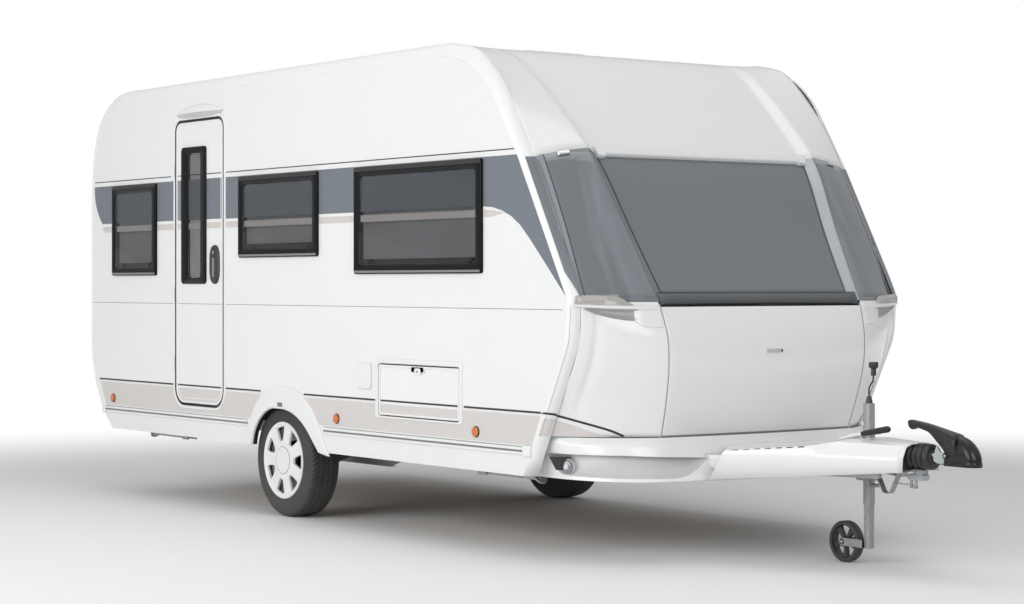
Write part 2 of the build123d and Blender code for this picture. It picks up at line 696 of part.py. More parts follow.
def steady_leg(x, way, side):
    """A folded channel leg with a round foot at its free end."""
    y = side * STEADY_Y
    profile = outline([(-22, -16, 0), (-22, 16, 0), (STEADY_LENGTH - 40, 14, 0), (STEADY_LENGTH, -2, 0),
                       (STEADY_LENGTH - 30, -16, 0)])
    leg = slab(profile, -STEADY_HALF, STEADY_HALF)
    leg -= block((30, STEADY_LENGTH - 60), (-STEADY_HALF + 3, STEADY_HALF - 3), (-13, 30))
    foot = Pos(STEADY_LENGTH - 30, 0, -6) * Rot(0, 45, 0) * Cylinder(36, 10)
    leg += foot
    if way < 0:
        leg = mirror(leg, Plane.YZ)
    return Pos(x, y, STEADY_Z) * leg


# ---------------------------------------------------------------- coupling and jockey wheel
SHAFT_Z, SHAFT_R = 545, 25
HOUSING_X, HOUSING_Y, HOUSING_Z = (3450, 3895), 50, (455, 585)
BELLOWS_X, BELLOWS_R, BELLOWS_RIBS = (3895, 4088), 61, 5
BALL_X, BALL_Z, BALL_R = 4331, 548, 25
HEAD_REAR_X, HEAD_Z = 4108, 510


def overrun_housing():
    """The casting between the drawbar members, the drawbar shaft and what hangs below them."""
    body = block(HOUSING_X, (-HOUSING_Y, HOUSING_Y), HOUSING_Z)
    body = fillet(body.edges().filter_by(Axis.X), 16)
    plate = block((3760, 3800), (-DRAWBAR_TIP_Y - 10, DRAWBAR_TIP_Y + 10), (425, DRAWBAR_Z[0]))
    web = block((3760, 3800), (-HOUSING_Y + 10, HOUSING_Y - 10), (425, HOUSING_Z[0] + 20))
    shaft = rod((HOUSING_X[1] - 5, 0, SHAFT_Z), (BELLOWS_X[1], 0, SHAFT_Z), SHAFT_R)
    return body + plate + web + shaft + cable_guide() + cable_tab()


def cable_guide():
    """A steel strip bent to a V under the housing."""
    top = HOUSING_Z[0] + 6
    path = [(3728, top), (3728, 440), (3774, 364), (3814, 364), (3860, 440), (3860, top)]
    outer = make_face(Polyline(*path, close=True))
    inner = make_face(Polyline(*[(x + (5 if x < 3794 else -5), z + 5) for x, z in path], close=True))
    return slab(outer - inner, -15, 15)


def cable_tab():
    """The plate under the bellows, with a slotted tab."""
    plate = block((HOUSING_X[1] - 20, 4036), (-24, 24), (458, 466))
    tab = block((3938, 3979), (-4, 4), (400, 460)) - block((3953, 3964), (-5, 5), (412, 444))
    return plate + tab


def bellows():
    """Rubber folds over the sliding shaft."""
    x0, x1 = BELLOWS_X
    pitch = (x1 - x0) / BELLOWS_RIBS
    root = BELLOWS_R - 14
    points = [(SHAFT_R, 0), (root, 0)]
    for i in range(BELLOWS_RIBS):
        points += [(BELLOWS_R, (i + 0.5) * pitch), (root, (i + 1) * pitch)]
    points.append((SHAFT_R, x1 - x0))
    turned = revolve(Plane.XZ * make_face(Polyline(*points, close=True)), Axis.Z)
    return Pos(x0, 0, SHAFT_Z) * Rot(0, 90, 0) * turned


def coupling_head():
    """The head that closes over the ball: its plan, its side and its rounded top, all in one."""
    half, nose_x = 44, 4335
    plan = make_face([Line((HEAD_REAR_X, -36), (nose_x, -half)),
                      ThreePointArc((nose_x, -half), (nose_x + half, 0), (nose_x, half)),
                      Line((nose_x, half), (HEAD_REAR_X, 36)), Line((HEAD_REAR_X, 36), (HEAD_REAR_X, -36))])
    side = outline([(HEAD_REAR_X, HEAD_Z, 0), (HEAD_REAR_X, 600, 0), (4165, 650, 0), (4235, 657, 0),
                    (4374, 566, 190), (nose_x + half, HEAD_Z, 0)])
    top = make_face([Line((-half, 0), (-half, 612)), ThreePointArc((-half, 612), (0, 662), (half, 612)),
                     Line((half, 612), (half, 0)), Line((half, 0), (-half, 0))])
    across = Plane(origin=(HEAD_REAR_X - 10, 0, 0), x_dir=(0, 1, 0), z_dir=(1, 0, 0))
    head = slab(side, -half, half) & extrude(plan, 1000) & extrude(across * top, 400)
    neck = rod((BELLOWS_X[1], 0, SHAFT_Z), (HEAD_REAR_X + 20, 0, SHAFT_Z), 30)
    bore = BALL_R + 0.3
    socket = Pos(BALL_X, 0, BALL_Z - 30) * Cylinder(bore, 60)
    socket += Pos(BALL_X, 0, BALL_Z + 10) * Cone(bore, 12, 20)
    return head + neck - socket


HANDLE_HALF = 27


def coupling_handle():
    """The lever that rises from the head and reaches back over the bellows."""
    side = outline([(4112, 601, 0), (4033, 664, 0), (3936, 672, 0), (3918, 694, 0), (3936, 716, 0),
                    (4006, 712, 0), (4235, 657, 900), (4225, 600, 0)])
    return slab(side, -HANDLE_HALF, HANDLE_HALF) - coupling_head()


LEVER_Y = (-78, -52)
LEVER_SLOT_X = (3490, 3622)


def handbrake_lever():
    """Lever beside the housing, cranked up through the cover, with a thicker grip."""
    arm = outline([(3505, 545, 0), (3520, 612, 0), (3545, 628, 0), (3700, 648, 0), (3702, 634, 0),
                   (3560, 614, 0), (3545, 545, 0)])
    grip = outline([(3690, 628, 0), (3690, 652, 0), (3768, 673, 0), (3842, 689, 0), (3868, 674, 0),
                    (3858, 660, 0), (3768, 641, 0)])
    middle = (LEVER_Y[0] + LEVER_Y[1]) / 2
    return slab(arm, middle - 5, middle + 5) + slab(grip, *LEVER_Y)


JOCKEY_X, JOCKEY_Y = 3584, 85
COLUMN_HALF, COLUMN_Z = 21, (289, 775)     # outer square tube
TUBE_HALF, TUBE_Z = 17.5, (222, 690)       # inner square tube
TUBE_PLAY = 1                              # between the two tubes, on each side
FOOT_Z = 66                                # lower end of the swivelling foot
JOCKEY_WHEEL_R, JOCKEY_WHEEL_WIDTH, JOCKEY_TRAIL = 100, 44, 160
FORK_ARM_T, FORK_ARM_HALF, FORK_INNER = 6, 19, 26
PIN_R = 8


def square_bar(half, z):
    return block((JOCKEY_X - half, JOCKEY_X + half), (JOCKEY_Y - half, JOCKEY_Y + half), z)


def jockey_column():
    """Square outer tube, its cap and the clamp that holds it to the housing."""
    wall = block((JOCKEY_X - 36, JOCKEY_X + 36), (HOUSING_Y, JOCKEY_Y + 33), (480, 545))
    flange = block((JOCKEY_X - 80, JOCKEY_X + 50), (HOUSING_Y - 6, JOCKEY_Y + 40), (426, 436))
    flange += block((JOCKEY_X - 20, JOCKEY_X + 20), (HOUSING_Y, JOCKEY_Y), (430, 490))
    stub = rod((JOCKEY_X + 19, JOCKEY_Y, 398), (JOCKEY_X + 66, JOCKEY_Y, 398), 11)
    column = square_bar(COLUMN_HALF, COLUMN_Z) + wall + flange + stub - overrun_housing()
    return column - square_bar(TUBE_HALF + TUBE_PLAY, (COLUMN_Z[0] - 1, COLUMN_Z[1] - 12))


CRANK_PATH = [(0, 775), (0, 842), (24, 880), (30, 922)]       # x from the column, z
KNOB_Z = (905, 974)


def jockey_crank():
    """The bent spindle on top of the column and its knob."""
    crank = Pos(JOCKEY_X, JOCKEY_Y, COLUMN_Z[1] + 17) * Cylinder(15, 34)
    path = [(JOCKEY_X + x, JOCKEY_Y, z) for x, z in CRANK_PATH]
    for start, end in zip(path, path[1:]):
        crank += rod(start, end, 6) + Pos(*end) * Sphere(6)
    x = path[-1][0]
    crank += Pos(x, JOCKEY_Y, (KNOB_Z[0] + KNOB_Z[1]) / 2) * Cylinder(14, KNOB_Z[1] - KNOB_Z[0])
    return crank + block((x - 33, x + 33), (JOCKEY_Y - 16, JOCKEY_Y + 16), (KNOB_Z[1] - 28, KNOB_Z[1]))


def jockey_tube():
    return square_bar(TUBE_HALF, TUBE_Z)


def jockey_fork():
    """The square foot under the tube and the two flat arms that reach back to the axle."""
    inner, half = FORK_INNER, FORK_ARM_HALF
    foot = block((-TUBE_HALF, TUBE_HALF), (-TUBE_HALF, TUBE_HALF), (FOOT_Z, TUBE_Z[0]))
    foot += block((-TUBE_HALF, TUBE_HALF), (-inner, inner), (JOCKEY_WHEEL_R - half, JOCKEY_WHEEL_R + half))
    tip = Pos(-JOCKEY_TRAIL, JOCKEY_WHEEL_R) * Circle(half)
    reach_x = JOCKEY_TRAIL + TUBE_HALF
    plate = Pos(TUBE_HALF - reach_x / 2, JOCKEY_WHEEL_R) * Rectangle(reach_x, 2 * half)
    arm = slab(tip + plate, inner, inner + FORK_ARM_T)
    reach = 2 * (inner + FORK_ARM_T) + 12
    pin = Pos(-JOCKEY_TRAIL, 0, JOCKEY_WHEEL_R) * Rot(90, 0, 0) * Cylinder(PIN_R, reach)
    return Pos(JOCKEY_X, JOCKEY_Y, 0) * (foot + arm + mirrored(arm) + pin)


WHEEL_SPOKES, SPOKE_WINDOW = 5, (34, 78, 26)     # windows between the spokes: radii and half angle


def jockey_wheel():
    """A solid tyre on a moulded disc with five spokes."""
    half = JOCKEY_WHEEL_WIDTH / 2 - 1
    section = Polyline((PIN_R + 0.6, -half), (26, -half), (28, -9), (80, -9), (82, -half), (90, -half),
                       (JOCKEY_WHEEL_R, -half + 8), (JOCKEY_WHEEL_R, half - 8), (90, half), (82, half),
                       (80, 9), (28, 9), (26, half), (PIN_R + 0.6, half), close=True)
    turned = revolve(Plane.XZ * make_face(section), Axis.Z)
    low, high, angle = SPOKE_WINDOW
    x_low, x_high = low * cos(radians(angle)), high * cos(radians(angle))
    y_low, y_high = 8, high * sin(radians(angle))
    corners = [(x_low, -y_low), (x_high, -y_high), (x_high, y_high), (x_low, y_low)]
    window = make_face(Polyline(*corners, close=True))
    turned -= PolarLocations(0, WHEEL_SPOKES) * extrude(window, 20, both=True)
    return Pos(JOCKEY_X - JOCKEY_TRAIL, JOCKEY_Y, JOCKEY_WHEEL_R) * Rot(90, 0, 0) * turned


# ---------------------------------------------------------------- things that open
def entrance_door():
    door = panel(DOOR_X, DOOR_Z, DOOR_CORNER, -HALF_WIDTH, -HALF_WIDTH + WALL, DOOR_FOOT_CORNER)
    x, z, lap = DOOR_WINDOW_X, DOOR_WINDOW_Z, WINDOW_LAP
    return door - panel((x[0] + lap, x[1] - lap), (z[0] + lap, z[1] - lap), HOLE_CORNER, -1200, -1000)


def door_window():
    x, z, lap = DOOR_WINDOW_X, DOOR_WINDOW_Z, WINDOW_LAP
    hole_x, hole_z = (x[0] + lap, x[1] - lap), (z[0] + lap, z[1] - lap)
    pane = panel(x, z, PANE_CORNER, -HALF_WIDTH - 12, -HALF_WIDTH)
    return pane + panel(hole_x, hole_z, HOLE_CORNER, -HALF_WIDTH, -HALF_WIDTH + WALL)


def door_handle():
    lens = make_face([RadiusArc((-743, 1345), (-743, 1580), 140), RadiusArc((-743, 1580), (-743, 1345), 140)])
    return slab(lens, -HALF_WIDTH - 16, -HALF_WIDTH)


def flap(x, z):
    """A flap with a rounded grip lip along its top, where the latch sits."""
    body = panel(x, z, FLAP_CORNER, -HALF_WIDTH, -HALF_WIDTH + WALL)
    middle = (x[0] + x[1]) / 2
    latch = panel((middle - 62, middle + 62), (z[1] - 34, z[1] - 2), 12, -HALF_WIDTH - 8, -HALF_WIDTH)
    return body + latch


def flap_frame(x, z):
    """The moulded frame on the wall round a flap."""
    frame = panel(x, z, FRAME_CORNER, -HALF_WIDTH - FRAME_PROUD, -HALF_WIDTH)
    hole_x, hole_z = flap_place(x, z)
    hole_x, hole_z = (hole_x[0] - GAP, hole_x[1] + GAP), (hole_z[0] - GAP, hole_z[1] + GAP)
    return frame - panel(hole_x, hole_z, FLAP_CORNER + GAP, -1200, -1000)


FRIDGE_VENTS = [((-560, -100), (860, 1060)), ((-560, -100), (1420, 1620))]    # x, z, far side


def fridge_vents():
    """Louvred plates on the far wall, with a slot between each pair of blades."""
    vents = []
    for x, z in FRIDGE_VENTS:
        plate = panel(x, z, 20, -HALF_WIDTH - 14, -HALF_WIDTH)
        for i in range(8):
            low = z[0] + 26 + i * 19
            plate -= block((x[0] + 24, x[1] - 24), (-HALF_WIDTH - 15, -HALF_WIDTH - 4), (low, low + 9))
        vents.append(mirrored(plate))
    return vents


# ---------------------------------------------------------------- write every piece
def main():
    os.makedirs("parts", exist_ok=True)
    panes = list(SIDE_WINDOWS.values())
    left_panes = [SIDE_WINDOWS[name] for name in LEFT_WINDOWS]
    roof, rear = roof_and_rear()
    door = (DOOR_X, DOOR_Z, DOOR_CORNER, DOOR_FOOT_CORNER)
    corners = (FLAP_CORNER, FLAP_CORNER)
    save("side_wall_right", side_wall(panes, [door, (*FLAP, *corners)]))
    save("side_wall_left", mirrored(side_wall(left_panes, [(*TOILET_FLAP, *corners)])))
    save("roof_panel", roof)
    save("rear_wall", rear)
    save("corner_rails", both(corner_rail()))
    save("side_windows", together([window_panes(panes), mirrored(window_panes(left_panes))]))
    save("rear_window", rear_window())
    save("roof_lights", roof_lights())
    save("front_hood", front_hood())
    save("front_pillars", front_pillars())
    save("front_window", front_window())
    save("front_cheeks", front_cheeks())
    save("locker_lid", locker_lid())
    save("locker_box", locker_box())
    save("front_apron", apron())
    save("front_lamps", front_lamps())
    save("drawbar_cover", drawbar_cover())
    save("arch_trims", both(arch_trim()))
    save("skirt_rails", together(skirt_rails()))
    save("front_rail", front_rail())
    save("front_wings", front_wings())
    save("marker_lamps", both(together(marker_lamps())))
    save("rear_lamps", rear_lamps())
    save("awning_light", awning_light())
    save("floor_panel", floor_panel())
    save("wheel_houses", both(wheel_house()))
    save("chassis_rails", both(chassis_rail()))
    save("chassis_cross_members", chassis_cross_members())
    save("drawbar", both(drawbar()))
    save("axle_tube", axle_tube())
    save("swing_arms", both(swing_arm()))
    for side, turn in (("right", lambda s: s), ("left", mirrored)):
        save(f"tyre_{side}", turn(tyre()))
        save(f"rim_{side}", turn(rim()))
        save(f"hub_cap_{side}", turn(hub_cap()))
    for (x, way), end in zip(STEADIES, ("rear", "front")):
        save(f"steady_{end}_right", steady_leg(x, way, -1))
        save(f"steady_{end}_left", steady_leg(x, way, 1))
    save("overrun_housing", overrun_housing())
    save("bellows", bellows())
    save("coupling_head", coupling_head())
    save("coupling_handle", coupling_handle())
    save("handbrake_lever", handbrake_lever())
    save("jockey_column", jockey_column())
    save("jockey_crank", jockey_crank())
    save("jockey_tube", jockey_tube())
    save("jockey_fork", jockey_fork())
    save("jockey_wheel", jockey_wheel())
    save("entrance_door", entrance_door())
    save("door_window", door_window())
    save("door_handle", door_handle())
    save("service_flap", flap(*FLAP))
    save("toilet_flap", mirrored(flap(*TOILET_FLAP)))
    save("flap_frames", together([flap_frame(FRAME_X, FRAME_Z),
                                  mirrored(flap_frame(TOILET_FRAME_X, TOILET_FRAME_Z))]))
    save("fridge_vents", together(fridge_vents()))


main()
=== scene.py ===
"""Finishes and fine pieces of a single-axle travel caravan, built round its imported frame.

Everything is in metres. Stations along the caravan are measured from the wheel axle, positive
towards the coupling; build() moves every mesh to where the frame has the axle. A shape is a pair
(points, faces): an (n, 3) array and a list of (m, k) arrays of corner numbers.
"""

import json
from math import pi

import bpy
import numpy as np
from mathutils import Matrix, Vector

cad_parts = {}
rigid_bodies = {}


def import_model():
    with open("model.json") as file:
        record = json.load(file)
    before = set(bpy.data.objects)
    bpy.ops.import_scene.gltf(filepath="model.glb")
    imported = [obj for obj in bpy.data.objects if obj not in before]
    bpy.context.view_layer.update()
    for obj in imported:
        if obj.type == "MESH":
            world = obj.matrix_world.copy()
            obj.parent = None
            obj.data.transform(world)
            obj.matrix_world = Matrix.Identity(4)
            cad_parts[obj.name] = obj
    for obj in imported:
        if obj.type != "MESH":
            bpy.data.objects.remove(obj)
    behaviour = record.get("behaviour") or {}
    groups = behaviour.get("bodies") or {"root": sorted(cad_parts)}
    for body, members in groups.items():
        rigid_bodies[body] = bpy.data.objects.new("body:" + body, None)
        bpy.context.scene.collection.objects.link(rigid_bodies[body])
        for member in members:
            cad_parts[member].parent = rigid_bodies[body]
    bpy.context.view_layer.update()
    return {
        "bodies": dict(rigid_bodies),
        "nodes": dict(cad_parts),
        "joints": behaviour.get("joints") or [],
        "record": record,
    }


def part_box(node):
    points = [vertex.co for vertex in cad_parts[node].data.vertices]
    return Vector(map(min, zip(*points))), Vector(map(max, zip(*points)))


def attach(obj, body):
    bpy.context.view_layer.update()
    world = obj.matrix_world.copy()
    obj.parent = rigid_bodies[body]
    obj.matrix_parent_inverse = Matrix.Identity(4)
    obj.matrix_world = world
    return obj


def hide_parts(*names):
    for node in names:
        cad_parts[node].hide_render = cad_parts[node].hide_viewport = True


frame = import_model()
nodes = frame["nodes"]

# ------------------------------------------------------------------ places taken from the frame
TYRE_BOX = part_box("tyre_right")
AXLE_X = (TYRE_BOX[0].x + TYRE_BOX[1].x) / 2
TYRE_R = (TYRE_BOX[1].x - TYRE_BOX[0].x) / 2
TYRE_Y = -(TYRE_BOX[0].y + TYRE_BOX[1].y) / 2
SIDE_Y = -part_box("side_wall_right")[0].y            # outer face of a side wall
RAIL_Y = SIDE_Y - 0.050                             # inner side of a corner rail
ROOF_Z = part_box("roof_panel")[1].z
REAR_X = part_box("rear_wall")[0].x - AXLE_X


# ------------------------------------------------------------------ shapes
def grid_faces(rows, columns, wrap_rows=False, wrap_columns=False):
    """Corner numbers of the quads of a grid whose points run along its columns first."""
    r = np.arange(rows if wrap_rows else rows - 1)[:, None]
    c = np.arange(columns if wrap_columns else columns - 1)[None, :]
    r1, c1 = (r + 1) % rows, (c + 1) % columns
    quad = [r * columns + c, r * columns + c1, r1 * columns + c1, r1 * columns + c]
    return np.stack(np.broadcast_arrays(*quad), -1).reshape(-1, 4)


def grid_shape(grid, wrap_rows=False, wrap_columns=False):
    """A surface through a (rows, columns, 3) grid. Its outside is on the side of columns x rows."""
    return grid.reshape(-1, 3), [grid_faces(*grid.shape[:2], wrap_rows, wrap_columns)]


def flipped(shape):
    """The same shape with its outside turned to the other side."""
    return shape[0], [part[:, ::-1] for part in shape[1]]


def merged(shapes):
    """Several shapes as one."""
    starts = np.cumsum([0] + [len(points) for points, _ in shapes])
    faces = [part + start for (_, parts), start in zip(shapes, starts) for part in parts]
    return np.concatenate([points for points, _ in shapes]), faces


def mirrored(shape):
    """The same shape on the other side of the middle plane."""
    return flipped((shape[0] * (1, -1, 1), shape[1]))


def both(shape):
    """A shape of the door side together with its mirror image."""
    return merged([shape, mirrored(shape)])


def loft(loops, ring=False):
    """A body through closed loops (rows, points, 3), its ends closed by flat faces.

    Loops run anticlockwise about the way they are stacked. With ring, the last joins the first."""
    rows, columns = loops.shape[:2]
    faces = [grid_faces(rows, columns, ring, True)]
    if not ring:
        first = np.arange(columns)
        faces += [first[None, ::-1], first[None, :] + (rows - 1) * columns]
    return loops.reshape(-1, 3), faces


def lathe(profile, centre, axis, steps=96, closed=True):
    """(radius, height) rows, outer side upwards, turned about "y-", "y+", "x" or "z" through centre."""
    turn = np.linspace(0, 2 * pi, steps, endpoint=False)[:, None]
    radius, height = np.array(profile, float).T
    a, b = radius * np.cos(turn), radius * np.sin(turn)
    grid = np.stack(along_axis(a, b, np.broadcast_to(height, a.shape), axis), -1) + centre
    return flipped(grid_shape(grid, True, closed))


def along_axis(a, b, height, axis):
    """Coordinates across and along an axis, as x, y and z."""
    return {"y-": (a, -height, b), "y+": (-a, height, b), "x": (height, a, b), "z": (a, b, height)}[axis]


def bar(path, outline, up=(0, 0, 1), scale=None):
    """A closed anticlockwise outline of (across, up) rows carried along a path, with flat ends."""
    path, outline = np.array(path, float), np.array(outline, float)
    along = np.gradient(path, axis=0)
    along /= np.linalg.norm(along, axis=1, keepdims=True)
    across = np.cross(along, np.broadcast_to(np.array(up, float), along.shape))
    across /= np.linalg.norm(across, axis=1, keepdims=True)
    upward = np.cross(across, along)
    size = np.ones(len(path)) if scale is None else np.array(scale, float)
    spread = across[:, None] * outline[None, :, :1] + upward[:, None] * outline[None, :, 1:]
    return flipped(loft(path[:, None] + spread * size[:, None, None]))


def circle(radius, steps=20):
    """Points of a circle, anticlockwise."""
    turn = np.linspace(0, 2 * pi, steps, endpoint=False)
    return radius * np.stack([np.cos(turn), np.sin(turn)], -1)


def narrowed(span, inset):
    """A (low, high) span drawn in by inset at both ends."""
    return span[0] + inset, span[1] - inset


def rounded(u, v, radius, inset=0.0, steps=8):
    """Points of a rounded rectangle moved inwards by inset, anticlockwise, as (n, 2)."""
    (u0, u1), (v0, v1) = narrowed(u, inset), narrowed(v, inset)
    low, high = (radius, radius) if np.isscalar(radius) else radius
    arcs = []
    corners = ((-pi / 2, low, u1, v0, -1, 1), (0, high, u1, v1, -1, -1), (pi / 2, high, u0, v1, 1, -1),
               (pi, low, u0, v0, 1, 1))
    for start, r, cu, cv, way_u, way_v in corners:
        r = max(r - inset, 0.001)
        turn = start + np.linspace(0, pi / 2, steps)
        centre = np.array((cu + way_u * r, cv + way_v * r))
        arcs.append(centre + r * np.stack([np.cos(turn), np.sin(turn)], -1))
    return np.concatenate(arcs)


def raised(outline, height):
    """A flat (n, 2) outline at one height, as (n, 3)."""
    return np.column_stack([outline, np.full(len(outline), height)])


def plate(u, v, radius, height, edge=0.003, base=0.0):
    """A plate with rounded corners and a quarter-round upper edge, in (u, v, height)."""
    turn = np.linspace(0, pi / 2, 5)
    rows = [(0.0, base)] + list(zip(edge * (1 - np.cos(turn)), height - edge + edge * np.sin(turn)))
    return loft(np.array([raised(rounded(u, v, radius, inset), h) for inset, h in rows]))


def ring(u, v, radius, width, height, edge=0.002, base=0.0):
    """A raised rim of the given width inside an outline, with both upper edges rounded."""
    turn = np.linspace(0, pi / 2, 4)
    ease, rise = edge * (1 - np.cos(turn)), height - edge + edge * np.sin(turn)
    inner = list(zip(width - ease[::-1], rise[::-1]))
    rows = [(0.0, base)] + list(zip(ease, rise)) + inner + [(width, base)]
    return loft(np.array([raised(rounded(u, v, radius, inset), h) for inset, h in rows]), ring=True)


def on(side, shape):
    """A shape in (u, v, height) set on a face of the body: "right" or "rear"."""
    u, v, height = shape[0].T
    if side == "right":
        return np.column_stack([u, -SIDE_Y - height, v]), shape[1]
    return flipped((np.column_stack([REAR_X - height, u, v]), shape[1]))


def smooth_path(rows, steps=10):
    """A Catmull-Rom curve through rows of numbers, with that many steps to each run."""
    rows = np.array(rows, float)
    ends = np.concatenate([[2 * rows[0] - rows[1]], rows, [2 * rows[-1] - rows[-2]]])
    t = np.linspace(0, 1, steps, endpoint=False)[None, :, None]
    a, b, c, d = [ends[i:len(ends) - 3 + i, None, :] for i in range(4)]
    runs = 2 * b + (c - a) * t + (2 * a - 5 * b + 4 * c - d) * t ** 2 + (3 * b - a - 3 * c + d) * t ** 3
    return np.concatenate([runs.reshape(-1, rows.shape[1]) / 2, rows[-1:]])


def softened(rows, reach, steps=5):
    """Points (n, 3) or rows of points (n, m, 3) with their inner corners rounded by parabolas."""
    rows = np.array(rows, float)
    t = np.linspace(0, 1, steps).reshape((-1,) + (1,) * (rows.ndim - 1))
    parts = [rows[:1]]
    for before, corner, after in zip(rows[:-2], rows[1:-1], rows[2:]):
        ends = []
        for other in (before, after):
            way = other - corner
            length = np.linalg.norm(way, axis=-1, keepdims=True)
            ends.append(corner + way / length * np.minimum(reach, length * 0.48))
        parts.append(ends[0] * (1 - t) ** 2 + 2 * corner * t * (1 - t) + ends[1] * t ** 2)
    return np.concatenate(parts + [rows[-1:]])


def edge_drop(distance, radius):
    """How far a rounded edge falls at a distance from the rim."""
    short = radius - np.clip(distance, 0, radius)
    return radius - np.sqrt(radius ** 2 - short ** 2)


def edge_steps(low, high, radius, inner):
    """Values from low to high, closer together inside the rounded edges at both ends."""
    ease = radius * (1 - np.cos(np.linspace(0, pi / 2, 5)))
    middle = np.linspace(low + radius, high - radius, inner)[1:-1]
    return np.concatenate([low + ease, middle, high - ease[::-1]])


def trace(rows, counts):
    """Points along rows of (x, z, radius of the arc that arrives there, 0 for a straight)."""
    rows = np.array(rows, float)
    runs = [rows[:1, :2]]
    for start, (x, z, radius), count in zip(rows[:-1, :2], rows[1:], counts):
        end = np.array((x, z))
        chord = np.linalg.norm(end - start)
        t = np.linspace(0, 1, count + 1)[1:, None]
        if radius:
            half = np.arcsin(chord / 2 / radius)
            along = (end - start) / chord
            left = np.array((-along[1], along[0]))
            centre = (start + end) / 2 - left * radius * np.cos(half)
            angle = -half + 2 * half * t
            runs.append(centre + radius * (np.sin(angle) * along + np.cos(angle) * left))
        else:
            runs.append(start + (end - start) * t)
    return np.concatenate(runs)


SHARP_FROM = 34                                     # degrees between faces from which an edge looks sharp


def build(name, shape, material, body="caravan", replaces=(), thick=0.0):
    """A shape as a piece of the caravan; thick gives an open surface its depth inwards."""
    points = np.array(shape[0], float) + (AXLE_X, 0, 0)
    faces = [np.atleast_2d(part) for part in shape[1]]
    corners = np.concatenate([part.ravel() for part in faces])
    totals = np.concatenate([np.full(len(part), part.shape[1]) for part in faces])
    starts = np.concatenate([[0], np.cumsum(totals)[:-1]])
    mesh = bpy.data.meshes.new(name)
    mesh.vertices.add(len(points))
    mesh.vertices.foreach_set("co", points.astype(np.float32).ravel())
    mesh.loops.add(len(corners))
    mesh.loops.foreach_set("vertex_index", corners.astype(np.int32))
    mesh.polygons.add(len(totals))
    mesh.polygons.foreach_set("loop_start", starts.astype(np.int32))
    mesh.polygons.foreach_set("use_smooth", np.full(len(totals), True))
    mesh.update(calc_edges=True)
    mesh.validate()
    mesh.materials.append(material)
    piece = bpy.data.objects.new(name, mesh)
    bpy.context.scene.collection.objects.link(piece)
    mesh.set_sharp_from_angle(angle=np.radians(SHARP_FROM))
    if thick:
        solid = piece.modifiers.new("thickness", "SOLIDIFY")
        solid.thickness, solid.offset = thick, -1
    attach(piece, body)
    if replaces:
        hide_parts(*replaces)
    return piece


# ------------------------------------------------------------------ shader node groups
def new_group(name, inputs, outputs):
    """An empty node group: inputs and outputs are (name, socket type, default) rows."""
    group = bpy.data.node_groups.new(name, "ShaderNodeTree")
    for way, rows in (("INPUT", inputs), ("OUTPUT", outputs)):
        for label, kind, default in rows:
            socket = group.interface.new_socket(label, in_out=way, socket_type=kind)
            if default is not None:
                socket.default_value = default
    return group, group.nodes.new("NodeGroupInput"), group.nodes.new("NodeGroupOutput")


def add(tree, kind, links=(), **values):
    """A node with values set by input name or property, and links from (input name, socket) rows."""
    node = tree.nodes.new(kind)
    for label, value in values.items():
        if hasattr(node, label):
            setattr(node, label, value)
        else:
            node.inputs[label.replace("_", " ")].default_value = value
    for label, socket in links:
        tree.links.new(socket, node.inputs[label])
    return node


def math(tree, operation, first, second=None):
    """A Math node on sockets or numbers."""
    node = tree.nodes.new("ShaderNodeMath")
    node.operation = operation
    for i, value in enumerate((first, second)):
        if isinstance(value, (int, float)):
            node.inputs[i].default_value = value
        elif value is not None:
            tree.links.new(value, node.inputs[i])
    return node.outputs[0]


def blend_colour(tree, factor, first, second, mode="MIX"):
    """A colour Mix node on sockets or colours."""
    node = tree.nodes.new("ShaderNodeMix")
    node.data_type, node.blend_type = "RGBA", mode
    for label, value in (("Factor_Float", factor), ("A_Color", first), ("B_Color", second)):
        socket = next(s for s in node.inputs if s.identifier == label)
        if isinstance(value, (int, float)):
            socket.default_value = value
        elif isinstance(value, tuple):
            socket.default_value = value + (1,) if len(value) == 3 else value
        else:
            tree.links.new(value, socket)
    return next(s for s in node.outputs if s.identifier == "Result_Color")


def object_place(tree):
    """The place in the object's own coordinates."""
    return tree.nodes.new("ShaderNodeTexCoord").outputs["Object"]


FLOAT, COLOUR = "NodeSocketFloat", "NodeSocketColor"


def make_hammered():
    """Small soft dimples, as rolled into the outer skin of the walls: smooth cells on a fine noise."""
    tree, given, out = new_group("hammered_skin", [("Scale", FLOAT, 90.0)], [("Height", FLOAT, None)])
    place = object_place(tree)
    cells = add(tree, "ShaderNodeTexVoronoi", [("Vector", place), ("Scale", given.outputs["Scale"])],
                feature="SMOOTH_F1", Smoothness=0.8)
    ripple = add(tree, "ShaderNodeTexNoise", [("Vector", place)], Scale=35.0, Detail=3.0)
    tree.links.new(math(tree, "ADD", math(tree, "MULTIPLY", ripple.outputs["Fac"], 0.6),
                        cells.outputs["Distance"]), out.inputs["Height"])
    return tree


def make_tone():
    """Slow changes of tone over a large surface: the colour, darkened by a soft noise."""
    rows = [("Color", COLOUR, (0.8, 0.8, 0.8, 1)), ("Scale", FLOAT, 1.5), ("Amount", FLOAT, 0.05)]
    tree, given, out = new_group("slow_tone", rows, [("Color", COLOUR, None), ("Fac", FLOAT, None)])
    noise = add(tree, "ShaderNodeTexNoise",
                [("Vector", object_place(tree)), ("Scale", given.outputs["Scale"])], Detail=4.0,
                Roughness=0.6)
    darker = blend_colour(tree, 1.0, given.outputs["Color"], (0.75, 0.76, 0.76), "MULTIPLY")
    factor = math(tree, "MULTIPLY", noise.outputs["Fac"], given.outputs["Amount"])
    tree.links.new(blend_colour(tree, factor, given.outputs["Color"], darker), out.inputs["Color"])
    tree.links.new(noise.outputs["Fac"], out.inputs["Fac"])
    return tree


